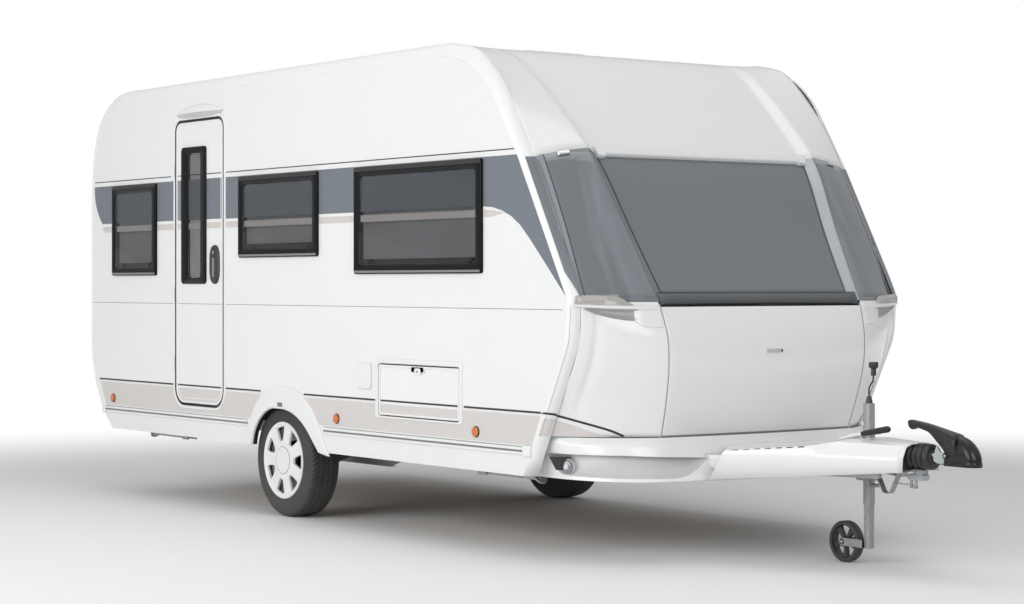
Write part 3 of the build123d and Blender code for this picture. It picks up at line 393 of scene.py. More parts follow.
def make_road_dust():
    """Fine road dust that thins out with height: full at the ground, gone at the given height."""
    rows = [("Color", COLOUR, (0.8, 0.8, 0.8, 1)), ("Height", FLOAT, 0.7), ("Amount", FLOAT, 0.3)]
    tree, given, out = new_group("road_dust", rows, [("Color", COLOUR, None), ("Mask", FLOAT, None)])
    place = object_place(tree)
    height = add(tree, "ShaderNodeSeparateXYZ", [("Vector", place)]).outputs["Z"]
    fade = add(tree, "ShaderNodeMapRange", [("Value", height), ("From Max", given.outputs["Height"])],
               To_Min=1.0, To_Max=0.0).outputs["Result"]
    noise = add(tree, "ShaderNodeTexNoise", [("Vector", place)], Scale=9.0, Detail=6.0, Roughness=0.7)
    mask = math(tree, "MULTIPLY", math(tree, "MULTIPLY", fade, noise.outputs["Fac"]),
                given.outputs["Amount"])
    tree.links.new(blend_colour(tree, mask, given.outputs["Color"], (0.36, 0.33, 0.29)),
                   out.inputs["Color"])
    tree.links.new(mask, out.inputs["Mask"])
    return tree


def make_micro():
    """Fine irregularity: a small noise as a height, and a gloss value that wanders by the given amount."""
    rows = [("Scale", FLOAT, 300.0), ("Rough", FLOAT, 0.4), ("Wander", FLOAT, 0.1)]
    tree, given, out = new_group("micro_surface", rows,
                                 [("Height", FLOAT, None), ("Roughness", FLOAT, None)])
    place = object_place(tree)
    fine = add(tree, "ShaderNodeTexNoise", [("Vector", place), ("Scale", given.outputs["Scale"])],
               Detail=3.0)
    broad = add(tree, "ShaderNodeTexNoise", [("Vector", place)], Scale=4.0, Detail=5.0)
    swing = math(tree, "MULTIPLY", math(tree, "SUBTRACT", broad.outputs["Fac"], 0.5),
                 given.outputs["Wander"])
    tree.links.new(fine.outputs["Fac"], out.inputs["Height"])
    tree.links.new(math(tree, "ADD", given.outputs["Rough"], swing), out.inputs["Roughness"])
    return tree


def make_lining():
    """1 where the surface lies inside the body's outer skin, so that linings differ from outer skins."""
    tree, given, out = new_group("inside_skin", [("Depth", FLOAT, 0.006)], [("Mask", FLOAT, None)])
    axes = add(tree, "ShaderNodeSeparateXYZ", [("Vector", object_place(tree))])
    across = math(tree, "ABSOLUTE", axes.outputs["Y"])
    side = math(tree, "LESS_THAN", across, math(tree, "SUBTRACT", SIDE_Y, given.outputs["Depth"]))
    tree.links.new(side, out.inputs["Mask"])
    return tree


def make_reflection_streaks():
    """Painted reflections as soft streaks: a noise that changes fast across the body and slowly along its
    height.
    """
    rows = [("Across", FLOAT, 7.0), ("Along", FLOAT, 1.1), ("Amount", FLOAT, 0.45)]
    tree, given, out = new_group("painted_reflection_streaks", rows, [("Fac", FLOAT, None)])
    axes = add(tree, "ShaderNodeSeparateXYZ", [("Vector", object_place(tree))])
    across = math(tree, "MULTIPLY", axes.outputs["Y"], given.outputs["Across"])
    along = math(tree, "MULTIPLY", axes.outputs["Z"], given.outputs["Along"])
    place = add(tree, "ShaderNodeCombineXYZ", [("X", across), ("Z", along)])
    noise = add(tree, "ShaderNodeTexNoise", [("Vector", place.outputs["Vector"])], Scale=1.0, Detail=3.0,
                Distortion=0.6)
    fade = add(tree, "ShaderNodeMapRange", [("Value", noise.outputs["Fac"])], From_Min=0.48, From_Max=0.78)
    tree.links.new(math(tree, "MULTIPLY", fade.outputs["Result"], given.outputs["Amount"]),
                   out.inputs["Fac"])
    return tree


HAMMERED, TONE, ROAD_DUST = make_hammered(), make_tone(), make_road_dust()
MICRO, LINING, REFLECTION_STREAKS = make_micro(), make_lining(), make_reflection_streaks()


def use(tree, group, links=(), **values):
    """One of the groups placed in a material with its own values."""
    node = tree.nodes.new("ShaderNodeGroup")
    node.node_tree = group
    for label, value in values.items():
        node.inputs[label].default_value = value + (1,) if isinstance(value, tuple) else value
    for label, socket in links:
        tree.links.new(socket, node.inputs[label])
    return node


# ------------------------------------------------------------------ materials
def new_material(name, **sockets):
    """A material with its Principled BSDF's plain values set by name."""
    material = bpy.data.materials.new(name)
    material.use_nodes = True
    shader = material.node_tree.nodes["Principled BSDF"]
    for label, value in sockets.items():
        shader.inputs[label.replace("_", " ")].default_value = value
    return material, material.node_tree, shader


def bump_from(tree, shader, height, distance, strength=1.0):
    """A height as the bump of a material."""
    bump = add(tree, "ShaderNodeBump", [("Height", height)], Distance=distance, Strength=strength)
    tree.links.new(bump.outputs["Normal"], shader.inputs["Normal"])


def coated(name, colour, rough, grain=400.0, relief=0.00002, dust=0.0, dust_top=0.9, tone=0.05, **sockets):
    """Paint, gel coat or moulded plastic: slow tone, road dust low down, a fine surface and its gloss."""
    material, tree, shader = new_material(name, **sockets)
    toned = use(tree, TONE, Color=colour, Amount=tone)
    dusty = use(tree, ROAD_DUST, [("Color", toned.outputs["Color"])], Height=dust_top, Amount=dust)
    fine = use(tree, MICRO, Scale=grain, Rough=rough, Wander=0.08)
    tree.links.new(dusty.outputs["Color"], shader.inputs["Base Color"])
    tree.links.new(math(tree, "ADD", fine.outputs["Roughness"],
                        math(tree, "MULTIPLY", dusty.outputs["Mask"], 0.4)), shader.inputs["Roughness"])
    bump_from(tree, shader, fine.outputs["Height"], relief)
    return material


def wall_skin(name, colour, rough=0.34, inner=(0.62, 0.57, 0.50)):
    """Hammered aluminium sheet with white paint outside and a lined inner face."""
    material, tree, shader = new_material(name)
    dusty = use(tree, ROAD_DUST, [("Color", use(tree, TONE, Color=colour, Amount=0.10).outputs["Color"])],
                Height=0.75, Amount=0.16)
    inside = use(tree, LINING).outputs["Mask"]
    tree.links.new(blend_colour(tree, inside, dusty.outputs["Color"], inner), shader.inputs["Base Color"])
    fine = use(tree, MICRO, Scale=260.0, Rough=rough, Wander=0.08)
    tree.links.new(fine.outputs["Roughness"], shader.inputs["Roughness"])
    bump_from(tree, shader, use(tree, HAMMERED, Scale=110.0).outputs["Height"], 0.0011, 0.55)
    return material


def zinc(name, colour=(0.42, 0.43, 0.44), dust=0.5):
    """Hot-dip galvanised steel: flat grey spangles of slightly different tone and gloss."""
    material, tree, shader = new_material(name, Metallic=0.85)
    place = object_place(tree)
    spangle = add(tree, "ShaderNodeTexVoronoi", [("Vector", place)], Scale=70.0)
    shade = add(tree, "ShaderNodeSeparateColor", [("Color", spangle.outputs["Color"])]).outputs["Red"]
    mixed = blend_colour(tree, math(tree, "MULTIPLY", shade, 0.45), colour, tuple(1.4 * c for c in colour))
    dusty = use(tree, ROAD_DUST, [("Color", mixed)], Height=0.6, Amount=dust)
    tree.links.new(dusty.outputs["Color"], shader.inputs["Base Color"])
    tree.links.new(math(tree, "ADD", math(tree, "MULTIPLY", shade, 0.12), 0.42), shader.inputs["Roughness"])
    bump_from(tree, shader, use(tree, MICRO, Scale=180.0).outputs["Height"], 0.0002)
    return material


def rubber(name, colour=(0.030, 0.030, 0.031), rough=0.72, dust=0.25):
    """Matt rubber with a fine skin and dust in the lower parts."""
    material, tree, shader = new_material(name)
    dusty = use(tree, ROAD_DUST,
                [("Color", use(tree, TONE, Color=colour, Amount=0.5, Scale=8.0).outputs["Color"])],
                Height=0.8, Amount=dust)
    fine = use(tree, MICRO, Scale=500.0, Rough=rough, Wander=0.15)
    tree.links.new(dusty.outputs["Color"], shader.inputs["Base Color"])
    tree.links.new(fine.outputs["Roughness"], shader.inputs["Roughness"])
    bump_from(tree, shader, fine.outputs["Height"], 0.0002)
    return material


def plywood(name):
    """Sealed board: long wavy grain lines across a brown ground."""
    material, tree, shader = new_material(name)
    grain = add(tree, "ShaderNodeTexWave", [("Vector", object_place(tree))], Scale=14.0, Distortion=9.0,
                Detail=4.0)
    colour = blend_colour(tree, grain.outputs["Fac"], (0.25, 0.19, 0.13), (0.36, 0.28, 0.20))
    tree.links.new(colour, shader.inputs["Base Color"])
    tree.links.new(use(tree, MICRO, Rough=0.6).outputs["Roughness"], shader.inputs["Roughness"])
    bump_from(tree, shader, grain.outputs["Fac"], 0.0002)
    return material


def ribbed_lens(name, colour, pitch=0.004, **sockets):
    """A moulded lens with fine prisms behind a clear face."""
    material, tree, shader = new_material(name, Roughness=0.12, Coat_Weight=0.6, **sockets)
    place = object_place(tree)
    waves = add(tree, "ShaderNodeTexWave", [("Vector", place)], Scale=0.16 / pitch, bands_direction="Z")
    toned = use(tree, TONE, Color=colour, Amount=0.3, Scale=12.0)
    tree.links.new(toned.outputs["Color"], shader.inputs["Base Color"])
    bump_from(tree, shader, waves.outputs["Fac"], 0.0006)
    return material


def pleated(name, colour):
    """Pleated blind: level folds every 14 mm in a matt cloth."""
    material, tree, shader = new_material(name, Roughness=0.8)
    folds = add(tree, "ShaderNodeTexWave", [("Vector", object_place(tree))], Scale=22.0,
                bands_direction="Z")
    mixed = blend_colour(tree, folds.outputs["Fac"], colour, tuple(c * 0.72 for c in colour))
    tree.links.new(mixed, shader.inputs["Base Color"])
    return material


def smoked(name, colour, rough=0.06, streak=0.15, **sockets):
    """Tinted acrylic: dark and glossy, with the slight unevenness of moulded sheet."""
    material, tree, shader = new_material(name, **sockets)
    toned = use(tree, TONE, Color=colour, Amount=streak, Scale=2.5)
    fine = use(tree, MICRO, Scale=3.0, Rough=rough, Wander=0.05)
    tree.links.new(toned.outputs["Color"], shader.inputs["Base Color"])
    tree.links.new(fine.outputs["Roughness"], shader.inputs["Roughness"])
    bump_from(tree, shader, fine.outputs["Height"], 0.0006)
    return material


def painted_reflection_trim(name, bright, dark):
    """Trim film whose colour is a painted reflection: bright face on, turning dark towards a grazing view.
    """
    material, tree, shader = new_material(name, Roughness=0.32, Metallic=0.2)
    facing = tree.nodes.new("ShaderNodeLayerWeight").outputs["Facing"]
    turned = add(tree, "ShaderNodeMapRange", [("Value", facing)], From_Min=0.15, From_Max=0.45,
                 interpolation_type="SMOOTHSTEP").outputs["Result"]
    reflected_tone = use(tree, TONE, Color=bright, Amount=0.5, Scale=40.0)
    tree.links.new(blend_colour(tree, turned, reflected_tone.outputs["Color"], dark), shader.inputs["Base Color"])
    bump_from(tree, shader, use(tree, MICRO, Scale=60.0).outputs["Height"], 0.0004)
    return material


def with_painted_reflections(name, colour, light):
    """Glossy acrylic with painted reflections: soft pale streaks that run down it."""
    material, tree, shader = new_material(name, Coat_Weight=0.4)
    streaks = use(tree, REFLECTION_STREAKS)
    tree.links.new(blend_colour(tree, streaks.outputs["Fac"], colour, light), shader.inputs["Base Color"])
    fine = use(tree, MICRO, Scale=3.0, Rough=0.05, Wander=0.05)
    tree.links.new(fine.outputs["Roughness"], shader.inputs["Roughness"])
    return material


WHITE_SKIN = wall_skin("white_wall_skin", (0.80, 0.81, 0.81))
REAR_SKIN = wall_skin("white_rear_skin", (0.80, 0.81, 0.81), inner=(0.80, 0.81, 0.81))
SLATE_SKIN = wall_skin("slate_band_film", (0.155, 0.178, 0.203), 0.40, (0.155, 0.178, 0.203))
BEIGE_SKIN = wall_skin("beige_band_film", (0.61, 0.57, 0.54), 0.40, (0.61, 0.57, 0.54))
GREIGE_SKIN = wall_skin("greige_band_film", (0.63, 0.60, 0.585), 0.40, (0.63, 0.60, 0.585))
INK = coated("black_line_film", (0.022, 0.022, 0.024), 0.4)
GREY_LINE = coated("grey_joint_line", (0.20, 0.20, 0.205), 0.5)
GEL_COAT = coated("white_gel_coat", (0.80, 0.81, 0.81), 0.22, relief=0.00004, dust=0.18, dust_top=0.6,
                  Coat_Weight=0.35, Coat_Roughness=0.08)
RAIL_PAINT = coated("white_rail_paint", (0.80, 0.81, 0.81), 0.32, dust=0.1)
ROOF_SKIN = coated("white_roof_sheet", (0.78, 0.79, 0.79), 0.38, grain=60.0, relief=0.0004, tone=0.15)
WHITE_PLASTIC = coated("white_plastic", (0.78, 0.785, 0.785), 0.4, relief=0.00006)
LIGHT_GREY = coated("light_grey_plastic", (0.50, 0.51, 0.52), 0.42)
MID_GREY = coated("mid_grey_plastic", (0.20, 0.205, 0.21), 0.45)
SILVER = coated("silver_wheel_paint", (0.46, 0.47, 0.48), 0.33, dust=0.5, Metallic=0.7)
DARK_GREY = coated("dark_grey_plastic", (0.040, 0.040, 0.042), 0.5, Specular_IOR_Level=0.2)
BLACK_GLOSS = smoked("black_window_border", (0.008, 0.008, 0.009), 0.22, Specular_IOR_Level=0.12)
BLACK_PLASTIC = coated("black_grained_plastic", (0.022, 0.022, 0.023), 0.42, grain=900.0, relief=0.00012)
SOFT_BLACK = rubber("black_seal_rubber", (0.016, 0.016, 0.017), 0.6, 0.0)
TYRE = rubber("tyre_rubber", (0.026, 0.026, 0.028))
BELLOWS = rubber("bellows_rubber", (0.018, 0.018, 0.019), 0.45, 0.15)
BLACK_STEEL = coated("black_painted_steel", (0.03, 0.03, 0.032), 0.4, dust=0.5, relief=0.0002)
ZINC = zinc("galvanised_steel")
CHROME = coated("bright_metal", (0.75, 0.76, 0.77), 0.12, Metallic=1.0)
TINTED = smoked("tinted_window_acrylic", (0.60, 0.60, 0.61), 0.03, Transmission_Weight=1.0, IOR=1.15)
BLIND = smoked("window_blind", (0.30, 0.30, 0.305), 0.8, 0.6)
SLATE_GLASS = smoked("slate_acrylic", (0.150, 0.162, 0.178), 0.05, Coat_Weight=0.4)
SILL_GLASS = smoked("dark_sill_acrylic", (0.050, 0.056, 0.062), 0.05, Coat_Weight=0.4)
WINDOW_BLIND = pleated("pleated_blind", (0.55, 0.55, 0.56))
BOARD = plywood("sealed_floor_board")
HOUSE_PLASTIC = coated("black_wheel_house_plastic", (0.03, 0.03, 0.03), 0.7, grain=120.0, relief=0.0006,
                       dust=0.6)
AMBER = ribbed_lens("amber_lens", (0.62, 0.17, 0.025))
RED = ribbed_lens("red_lens", (0.42, 0.012, 0.012))
CLEAR = ribbed_lens("clear_lens", (0.62, 0.63, 0.64))
PEARL = ribbed_lens("pearl_lens", (0.40, 0.385, 0.37), 0.010)
CLEAR_DARK = smoked("smoked_lamp_glass", (0.20, 0.20, 0.23), 0.05, Coat_Weight=1.0)
CHROME_LENS = ribbed_lens("reflector_lens", (0.62, 0.63, 0.65), 0.010, Metallic=0.5)
# Grey gel coat for the apron's hollow: painted shade under its ledge.
HOLLOW_PAINTED_SHADE = coated("gel_coat_painted_shade", (0.56, 0.565, 0.57), 0.34, relief=0.00004, dust=0.2, dust_top=0.6)
# Grey for the wing scoops: painted shade in the recess under the blade.
SCOOP_PAINTED_SHADE = coated("scoop_painted_shade", (0.36, 0.365, 0.37), 0.35)
DOME = smoked("frosted_roof_dome", (0.66, 0.67, 0.68), 0.25, Coat_Weight=0.5)
HEAD_GLOSS = smoked("black_glossy_plastic", (0.014, 0.014, 0.015), 0.16, Specular_IOR_Level=0.35)
GRIP_BLACK = coated("dark_satin_plastic", (0.018, 0.018, 0.019), 0.36, grain=700.0, relief=0.00008,
                    Specular_IOR_Level=0.35)
CASTING = coated("pale_cast_metal", (0.40, 0.43, 0.44), 0.42, grain=220.0, relief=0.0004, Metallic=0.25)
ZINC_LIGHT = zinc("fresh_galvanised_steel", (0.34, 0.343, 0.346), 0.1)
JOCKEY_RUBBER = rubber("jockey_wheel_rubber", (0.030, 0.030, 0.031), 0.5, 0.1)
SEAM_GREY = coated("pale_joint_line", (0.36, 0.365, 0.37), 0.5)
BEVEL_REFLECTION_FILM = painted_reflection_trim("bevel_film_painted_reflection", (0.46, 0.49, 0.52), (0.170, 0.185, 0.205))
# A paler slate for a strip of painted sheen beside each pillar line.
SHEEN = coated("slate_film_painted_sheen", (0.255, 0.278, 0.310), 0.35)
# Slate for the pillars and the corner rails, with painted reflections as pale streaks.
SLATE_SHEEN = with_painted_reflections("slate_acrylic_painted_reflections", (0.150, 0.164, 0.182), (0.300, 0.330, 0.370))


# ------------------------------------------------------------------ corner rails and coloured bands
WALL_EDGE = [(-2.122, 0.404, 0), (-2.432, 0.980, 0.691), (-2.432, 1.840, 0), (-2.389, 2.214, 1.650),
             (-2.004, 2.520, 0.396), (1.660, 2.520, 0), (2.152, 2.264, 0.600), (2.358, 1.965, 0),
             (2.752, 1.275, 0), (2.735, 1.110, 0), (2.700, 1.010, 0.250), (2.400, 0.404, 0)]
BODY_EDGE = [(-2.141, 0.404, 0), (-2.477, 1.000, 0.697), (-2.477, 1.840, 0), (-2.437, 2.216, 1.790),
             (-1.969, 2.594, 0.478), (1.660, 2.594, 0), (2.215, 2.303, 0.674), (2.410, 1.995, 0),
             (2.799, 1.300, 0), (2.790, 1.110, 0), (2.752, 0.990, 0.300), (2.455, 0.404, 0)]
RUN_STEPS = (16, 6, 8, 16, 12, 14, 6, 10, 3, 6, 6)
DOOR_X, DOOR_Z = (-1.244, -0.639), (0.608, 2.344)
DOOR_RADII = (0.100, 0.060)
DOOR_GAP = 0.006
ARCH_STOPS = (-0.190, 0.300)                        # where the pin line ends beside the arch


def corner_rail():
    """Quarter-round from the wall's edge to the body's edge, with a fine groove at each joint."""
    wall, body = trace(WALL_EDGE, RUN_STEPS), trace(BODY_EDGE, RUN_STEPS)
    turn = np.linspace(0, pi / 2, 10)
    crown = SIDE_Y + 0.003
    share = np.concatenate([[0.0, 0.0, 0.03], 0.05 + 0.91 * np.sin(turn), [0.985, 0.97]])
    y = np.concatenate([[SIDE_Y - 0.006, SIDE_Y, SIDE_Y + 0.002],
                        RAIL_Y + 0.003 + (crown - RAIL_Y - 0.003) * np.cos(turn),
                        [RAIL_Y + 0.001, RAIL_Y - 0.002]])
    place = wall[:, None] * (1 - share[None, :, None]) + body[:, None] * share[None, :, None]
    grid = np.stack([place[..., 0], np.broadcast_to(-y, place.shape[:2]), place[..., 1]], -1)
    return flipped(grid_shape(grid))


FILM = 0.0006                                       # height of a film over the sheet
# Lower and upper edge of each band and line on the sides.
SLATE_Z, BEIGE_Z, UPPER_LINE_Z = (1.738, 1.985), (1.682, 1.719), (2.011, 2.017)
SHEET_JOINT_Z, PIN_LINE_Z = (1.2215, 1.2245), (0.716, 0.726)
UPPER_ENDS, JOINT_ENDS, PIN_ENDS = (-2.395, 2.330), (-2.43, 2.72), (-2.325, 2.545)


def film(outline, height=FILM):
    """A thin flat film on the door side, from an anticlockwise (x, z) outline."""
    outline = np.array(outline, float)
    return on("right", loft(np.array([raised(outline, -0.001), raised(outline, height)])))


def strip(x0, x1, z0, z1, height=FILM):
    """A level band of film between two stations and two heights."""
    return film([(x0, z0), (x1, z0), (x1, z1), (x0, z1)], height)


def build_bands():
    """Slate, beige and greige films with their lines, broken at the door and beside the arch."""
    left_of_door, right_of_door = DOOR_X[0] - DOOR_GAP, DOOR_X[1] + DOOR_GAP
    slate_tail = [(-2.402, 1.985), (-2.401, 1.945), (-2.394, 1.900), (-2.378, 1.855), (-2.350, 1.808),
                  (-2.318, 1.768), (-2.285, 1.738)]
    sweep = [(2.069, 1.736), (2.141, 1.730), (2.220, 1.712), (2.299, 1.682), (2.373, 1.638), (2.460, 1.562),
             (2.600, 1.428), (2.744, 1.287)]
    beige_tail = [(-2.289, 1.719), (-2.275, 1.705), (-2.252, 1.682)]
    rear = slate_tail + [(left_of_door, z) for z in SLATE_Z]
    front = [(right_of_door, 1.736)] + sweep + [(x, SLATE_Z[1]) for x in (2.347, right_of_door)]
    full = slate_tail + [(0.0, 1.737)] + front[1:-1]
    beige_end = [(2.130, 1.682), (2.190, 1.690), (2.240, 1.700), (2.200, 1.708), (2.141, 1.715),
                 (2.069, 1.719)]
    beige = [beige_tail + [(left_of_door, z) for z in BEIGE_Z],
             [(right_of_door, BEIGE_Z[0])] + beige_end + [(right_of_door, BEIGE_Z[1])]]
    beige_full = beige_tail + beige_end
    build("slate_bands", merged([film(rear), film(front), mirrored(film(full))]), SLATE_SKIN)
    build("beige_bands", merged([film(beige[0]), film(beige[1]), mirrored(film(beige_full))]), BEIGE_SKIN)
    lines = (("upper_lines", UPPER_ENDS, UPPER_LINE_Z, INK),
             ("sheet_joints", JOINT_ENDS, SHEET_JOINT_Z, GREY_LINE))
    for name, (rear_end, front_end), levels, finish in lines:
        near = [strip(rear_end, left_of_door, *levels), strip(right_of_door, front_end, *levels)]
        build(name, merged(near + [mirrored(strip(rear_end, front_end, *levels))]), finish)
    rear_end, front_end = PIN_ENDS
    pins = [(rear_end, left_of_door), (right_of_door, ARCH_STOPS[0]), (ARCH_STOPS[1], 1.056),
            (1.889, front_end)]
    build("pin_lines", merged([strip(*ends, *PIN_LINE_Z) for ends in pins]), INK)
    left_pins = [(rear_end, -1.726), (-1.334, ARCH_STOPS[0]), (ARCH_STOPS[1], front_end)]
    build("pin_lines_left", mirrored(merged([strip(*ends, *PIN_LINE_Z) for ends in left_pins])), INK)
    near, far = [film(rows) for rows in greige_near()], [mirrored(film(rows)) for rows in greige_far()]
    build("greige_bands", merged(near + far), GREIGE_SKIN)


LOW_Z, PIN_Z = 0.556, 0.703                         # foot and top of the greige band
REAR_FOOT = [(-2.315, PIN_Z), (-2.292, 0.660), (-2.262, 0.610), (-2.222, LOW_Z)]
BEFORE_ARCH = [(-0.312, LOW_Z), (-0.190, PIN_Z)]
AFTER_ARCH = [(0.318, PIN_Z), (0.478, LOW_Z), (2.470, LOW_Z), (2.540, PIN_Z)]


def notch(x0, x1, z):
    """The way round a frame that hangs into the band, from its front end to its rear end."""
    return [(x1, PIN_Z), (x1, z), (x0, z), (x0, PIN_Z)]


def greige_near():
    """Outlines of the greige band on the door side, cut out round the door and the service flap."""
    corners = rounded(DOOR_X, DOOR_Z, DOOR_RADII, -0.020)
    front_corner, rear_corner = corners[:8][::-1], corners[-8:][::-1]
    middle, foot = (DOOR_X[0] + DOOR_X[1]) / 2, corners[0, 1]
    seam = [(middle, LOW_Z), (middle, foot)]
    rear = REAR_FOOT + seam + [tuple(point) for point in rear_corner] + [(rear_corner[-1, 0], PIN_Z)]
    front = seam[:1] + BEFORE_ARCH + [(front_corner[0, 0], PIN_Z)]
    front += [tuple(point) for point in front_corner] + seam[1:]
    return [rear, front, AFTER_ARCH + notch(1.072, 1.873, 0.638)]


def greige_far():
    """Outlines of the greige band on the far side, cut out round the toilet flap."""
    return [REAR_FOOT + BEFORE_ARCH + notch(-1.710, -1.350, 0.638), AFTER_ARCH]


build("corner_rail_skins", both(corner_rail()), RAIL_PAINT, replaces=["corner_rails"], thick=0.003)
build_bands()


# ------------------------------------------------------------------ front mouldings
# Down the front: x, z, slope in degrees, y of the rib, fall at the corner rail, recess of the middle.
FRONT_STATIONS = [(1.600, 2.594, 0, 0.830, 0.003, 0.001), (1.815, 2.560, 18, 0.812, -0.014, 0.008),
                  (1.996, 2.469, 37, 0.800, -0.028, 0.026), (2.268, 2.241, 43, 0.780, 0.012, 0.034),
                  (2.515, 1.985, 54, 0.757, 0.086, 0.038), (2.720, 1.620, 61, 0.712, 0.087, 0.034),
                  (2.926, 1.263, 90, 0.676, 0.128, 0.026)]
RIB_BEVEL = 0.058
SOFT = 0.021                                        # reach of the rounding at crests and feet
STATION_STEPS = 8
HOOD_STATION, PANE_STATION = 3.875, 6             # where the hood ends and where the sill ends
PANE_STEPS = 24
# Down the lower front: x, z, y of the lid's edge, fall at the corner rail, bulge of the lid.
CHEEK_STATIONS = [(2.929, 1.260, 0.672, 0.130, 0.004), (2.978, 1.100, 0.657, 0.188, 0.026),
                  (2.980, 0.940, 0.650, 0.248, 0.042), (2.944, 0.770, 0.638, 0.318, 0.044),
                  (2.892, 0.604, 0.625, 0.352, 0.030)]
CREASE_Y = 0.978                                    # distance of the cheek's crease from the middle


def depth_across(y, rib, fall, recess):
    """How far the front lies below the rib: a flat middle, a straight bevel, a curve to the rail."""
    y = np.abs(y)
    t = np.clip((y - rib) / (RAIL_Y - rib), 0, 1.1)
    return np.where(y < rib, recess * np.clip((rib - y) / RIB_BEVEL, 0, 1),
                    fall * (0.52 * t + 0.48 * t * t))


def front_points(rows, y, lift=0.0):
    """Points of the front at rows of stations; its corners are rounded by averaging across them."""
    x, z, slope, rib, fall, recess = rows.T[:, :, None]
    offsets = np.linspace(-SOFT, SOFT, 9) * 0.6
    depth = np.mean([depth_across(y + offset, rib, fall, recess) for offset in offsets], axis=0) - lift
    turn = np.radians(slope)
    return np.stack([x - depth * np.sin(turn), np.broadcast_to(y, depth.shape), z - depth * np.cos(turn)],
                    -1)


def between(*stops):
    """Columns from stop to stop: an array and a count in turn, each stop one value per row."""
    runs = zip(stops[::2], stops[1::2], stops[2::2])
    parts = [np.linspace(a, b, count, endpoint=False, axis=-1) for a, count, b in runs]
    return np.concatenate(parts + [stops[-1][:, None]], axis=1)


def front_rows(first, last, steps=STATION_STEPS):
    """Rows of the smoothed front stations from one station number to another."""
    return smooth_path(FRONT_STATIONS, steps)[int(first * steps):int(last * steps) + 1]


def two_sided(y):
    """Distances from the middle to one side, carried on to the other side."""
    return np.concatenate([-y[:, :0:-1], y], axis=1)


def hood():
    """From the roof to the window: a flat middle, a bevel and a curve down to the rail on each side."""
    rows = front_rows(0, HOOD_STATION)
    rib, zero = rows[:, 3], 0 * rows[:, 3]
    low = rib - RIB_BEVEL
    y = between(zero, 8, low - SOFT, 7, low + SOFT, 3, rib - SOFT, 9, rib + SOFT, 14, zero + RAIL_Y)
    return flipped(grid_shape(front_points(rows, two_sided(y))))


def pillar():
    """From the foot of the bevel to the corner rail, beside the pane."""
    rows = front_rows(HOOD_STATION, PANE_STATION)
    rib = rows[:, 3]
    low = rib - RIB_BEVEL
    y = between(low, 4, low + SOFT, 3, rib - SOFT, 9, rib + SOFT, 14, 0 * rib + RAIL_Y)
    return grid_shape(front_points(rows, -y))


# A line's distance from the middle at the top and at the foot of the pillar, and its width.
PILLAR_LINE, PILLAR_SHEEN = (1.004, 1.024, 0.004), (1.0095, 1.0295, 0.020)


def pillar_line(top, foot, width):
    """A fine line down the pillar, from one distance from the middle to another."""
    rows = front_rows(HOOD_STATION, PANE_STATION)
    y = np.linspace(top, foot, len(rows))
    return grid_shape(front_points(rows, -between(y, 2, y + width), FILM))


def bevel_strip(inset):
    """A film along the bevel between the pane and the rib."""
    rows = front_rows(HOOD_STATION, PANE_STATION)
    low, high = rows[:, 3] - RIB_BEVEL + 0.003 + inset, rows[:, 3] - inset
    return grid_shape(front_points(rows, -between(low, 6, high), 0.0008))


def lid_seam():
    """The pale bottom of the joint beside the lid, a few millimetres in."""
    z = np.linspace(0.600, 1.250, 30)
    x, edge, _ = lid_rows(z)
    y = np.concatenate([edge - 0.004, edge + 0.003, edge + 0.012], axis=1)
    return flipped(grid_shape(np.stack([x - 0.0060 + 0 * y, -y, z[:, None] + 0 * y], -1)))


SILL_START = 5.875                                  # station where the pane ends and the sill begins
SILL_FOOT_Z = 1.240


def front_pane():
    """The window over the middle, its two upright edges rounded over."""
    rows = front_rows(HOOD_STATION, SILL_START, PANE_STEPS)
    low = rows[:, 3] - RIB_BEVEL - 0.004
    y = two_sided(between(0 * low, 8, low - 0.010, 4, low))
    drop = edge_drop(low[:, None] - np.abs(y), 0.004)
    return flipped(grid_shape(front_points(rows, y, 0.002 - drop)))


def sill():
    """The dark glossy roll between the pane and the lid: it bulges between its upper and lower edges."""
    rows = front_rows(SILL_START, PANE_STATION, PANE_STEPS)
    foot = np.repeat(rows[-1:], 5, axis=0)
    foot[:, 1] = np.linspace(rows[-1, 1], SILL_FOOT_Z, 6)[1:]
    rows = np.concatenate([rows, foot])
    low = rows[:, 3] - 0.012
    y = two_sided(between(0 * low, 8, low - 0.05, 6, low))
    t = np.linspace(0, 1, len(rows))[:, None]
    ends = np.clip((low[:, None] - np.abs(y)) / 0.05, 0, 1) ** 0.5
    return flipped(grid_shape(front_points(rows, y, 0.003 + 0.013 * np.sin(pi * t) ** 0.7 * ends)))


def crease_depth(y, z):
    """The upright crease in the cheek: a bell curve across it, fading out at its top and foot."""
    fade = np.sin(pi * np.clip((1.26 - z) / 0.60, 0, 1)) ** 0.5
    return 0.012 * np.exp(-((y - CREASE_Y) / 0.020) ** 2) * fade


def cheek():
    """The curved corner beside the lid, with a soft upright crease towards the corner rail."""
    rows = smooth_path([row[:4] for row in CHEEK_STATIONS], 8)
    x, z, _, fall = rows.T[:, :, None]
    inner = rows[:, 2] + 0.006
    y = between(inner, 6, inner + 0.012, 12, 0 * inner + 0.955, 8, 0 * inner + 1.005, 4, 0 * inner + RAIL_Y)
    t = (y - inner[:, None]) / (RAIL_Y - inner[:, None])
    drop = edge_drop(y - inner[:, None], 0.006) + crease_depth(y, z)
    return grid_shape(np.stack([x - fall * (0.6 * t + 0.4 * t * t) - drop, -y, z + 0 * y], -1))


LID_LOW, LID_HIGH, LID_ROUND = 0.608, 1.236, 0.007


def lid_rows(z):
    """Interpolated lid stations at given heights."""
    rows = smooth_path(CHEEK_STATIONS, 10)[::-1]
    return [np.interp(z, rows[:, 1], rows[:, i])[:, None] for i in (0, 2, 4)]


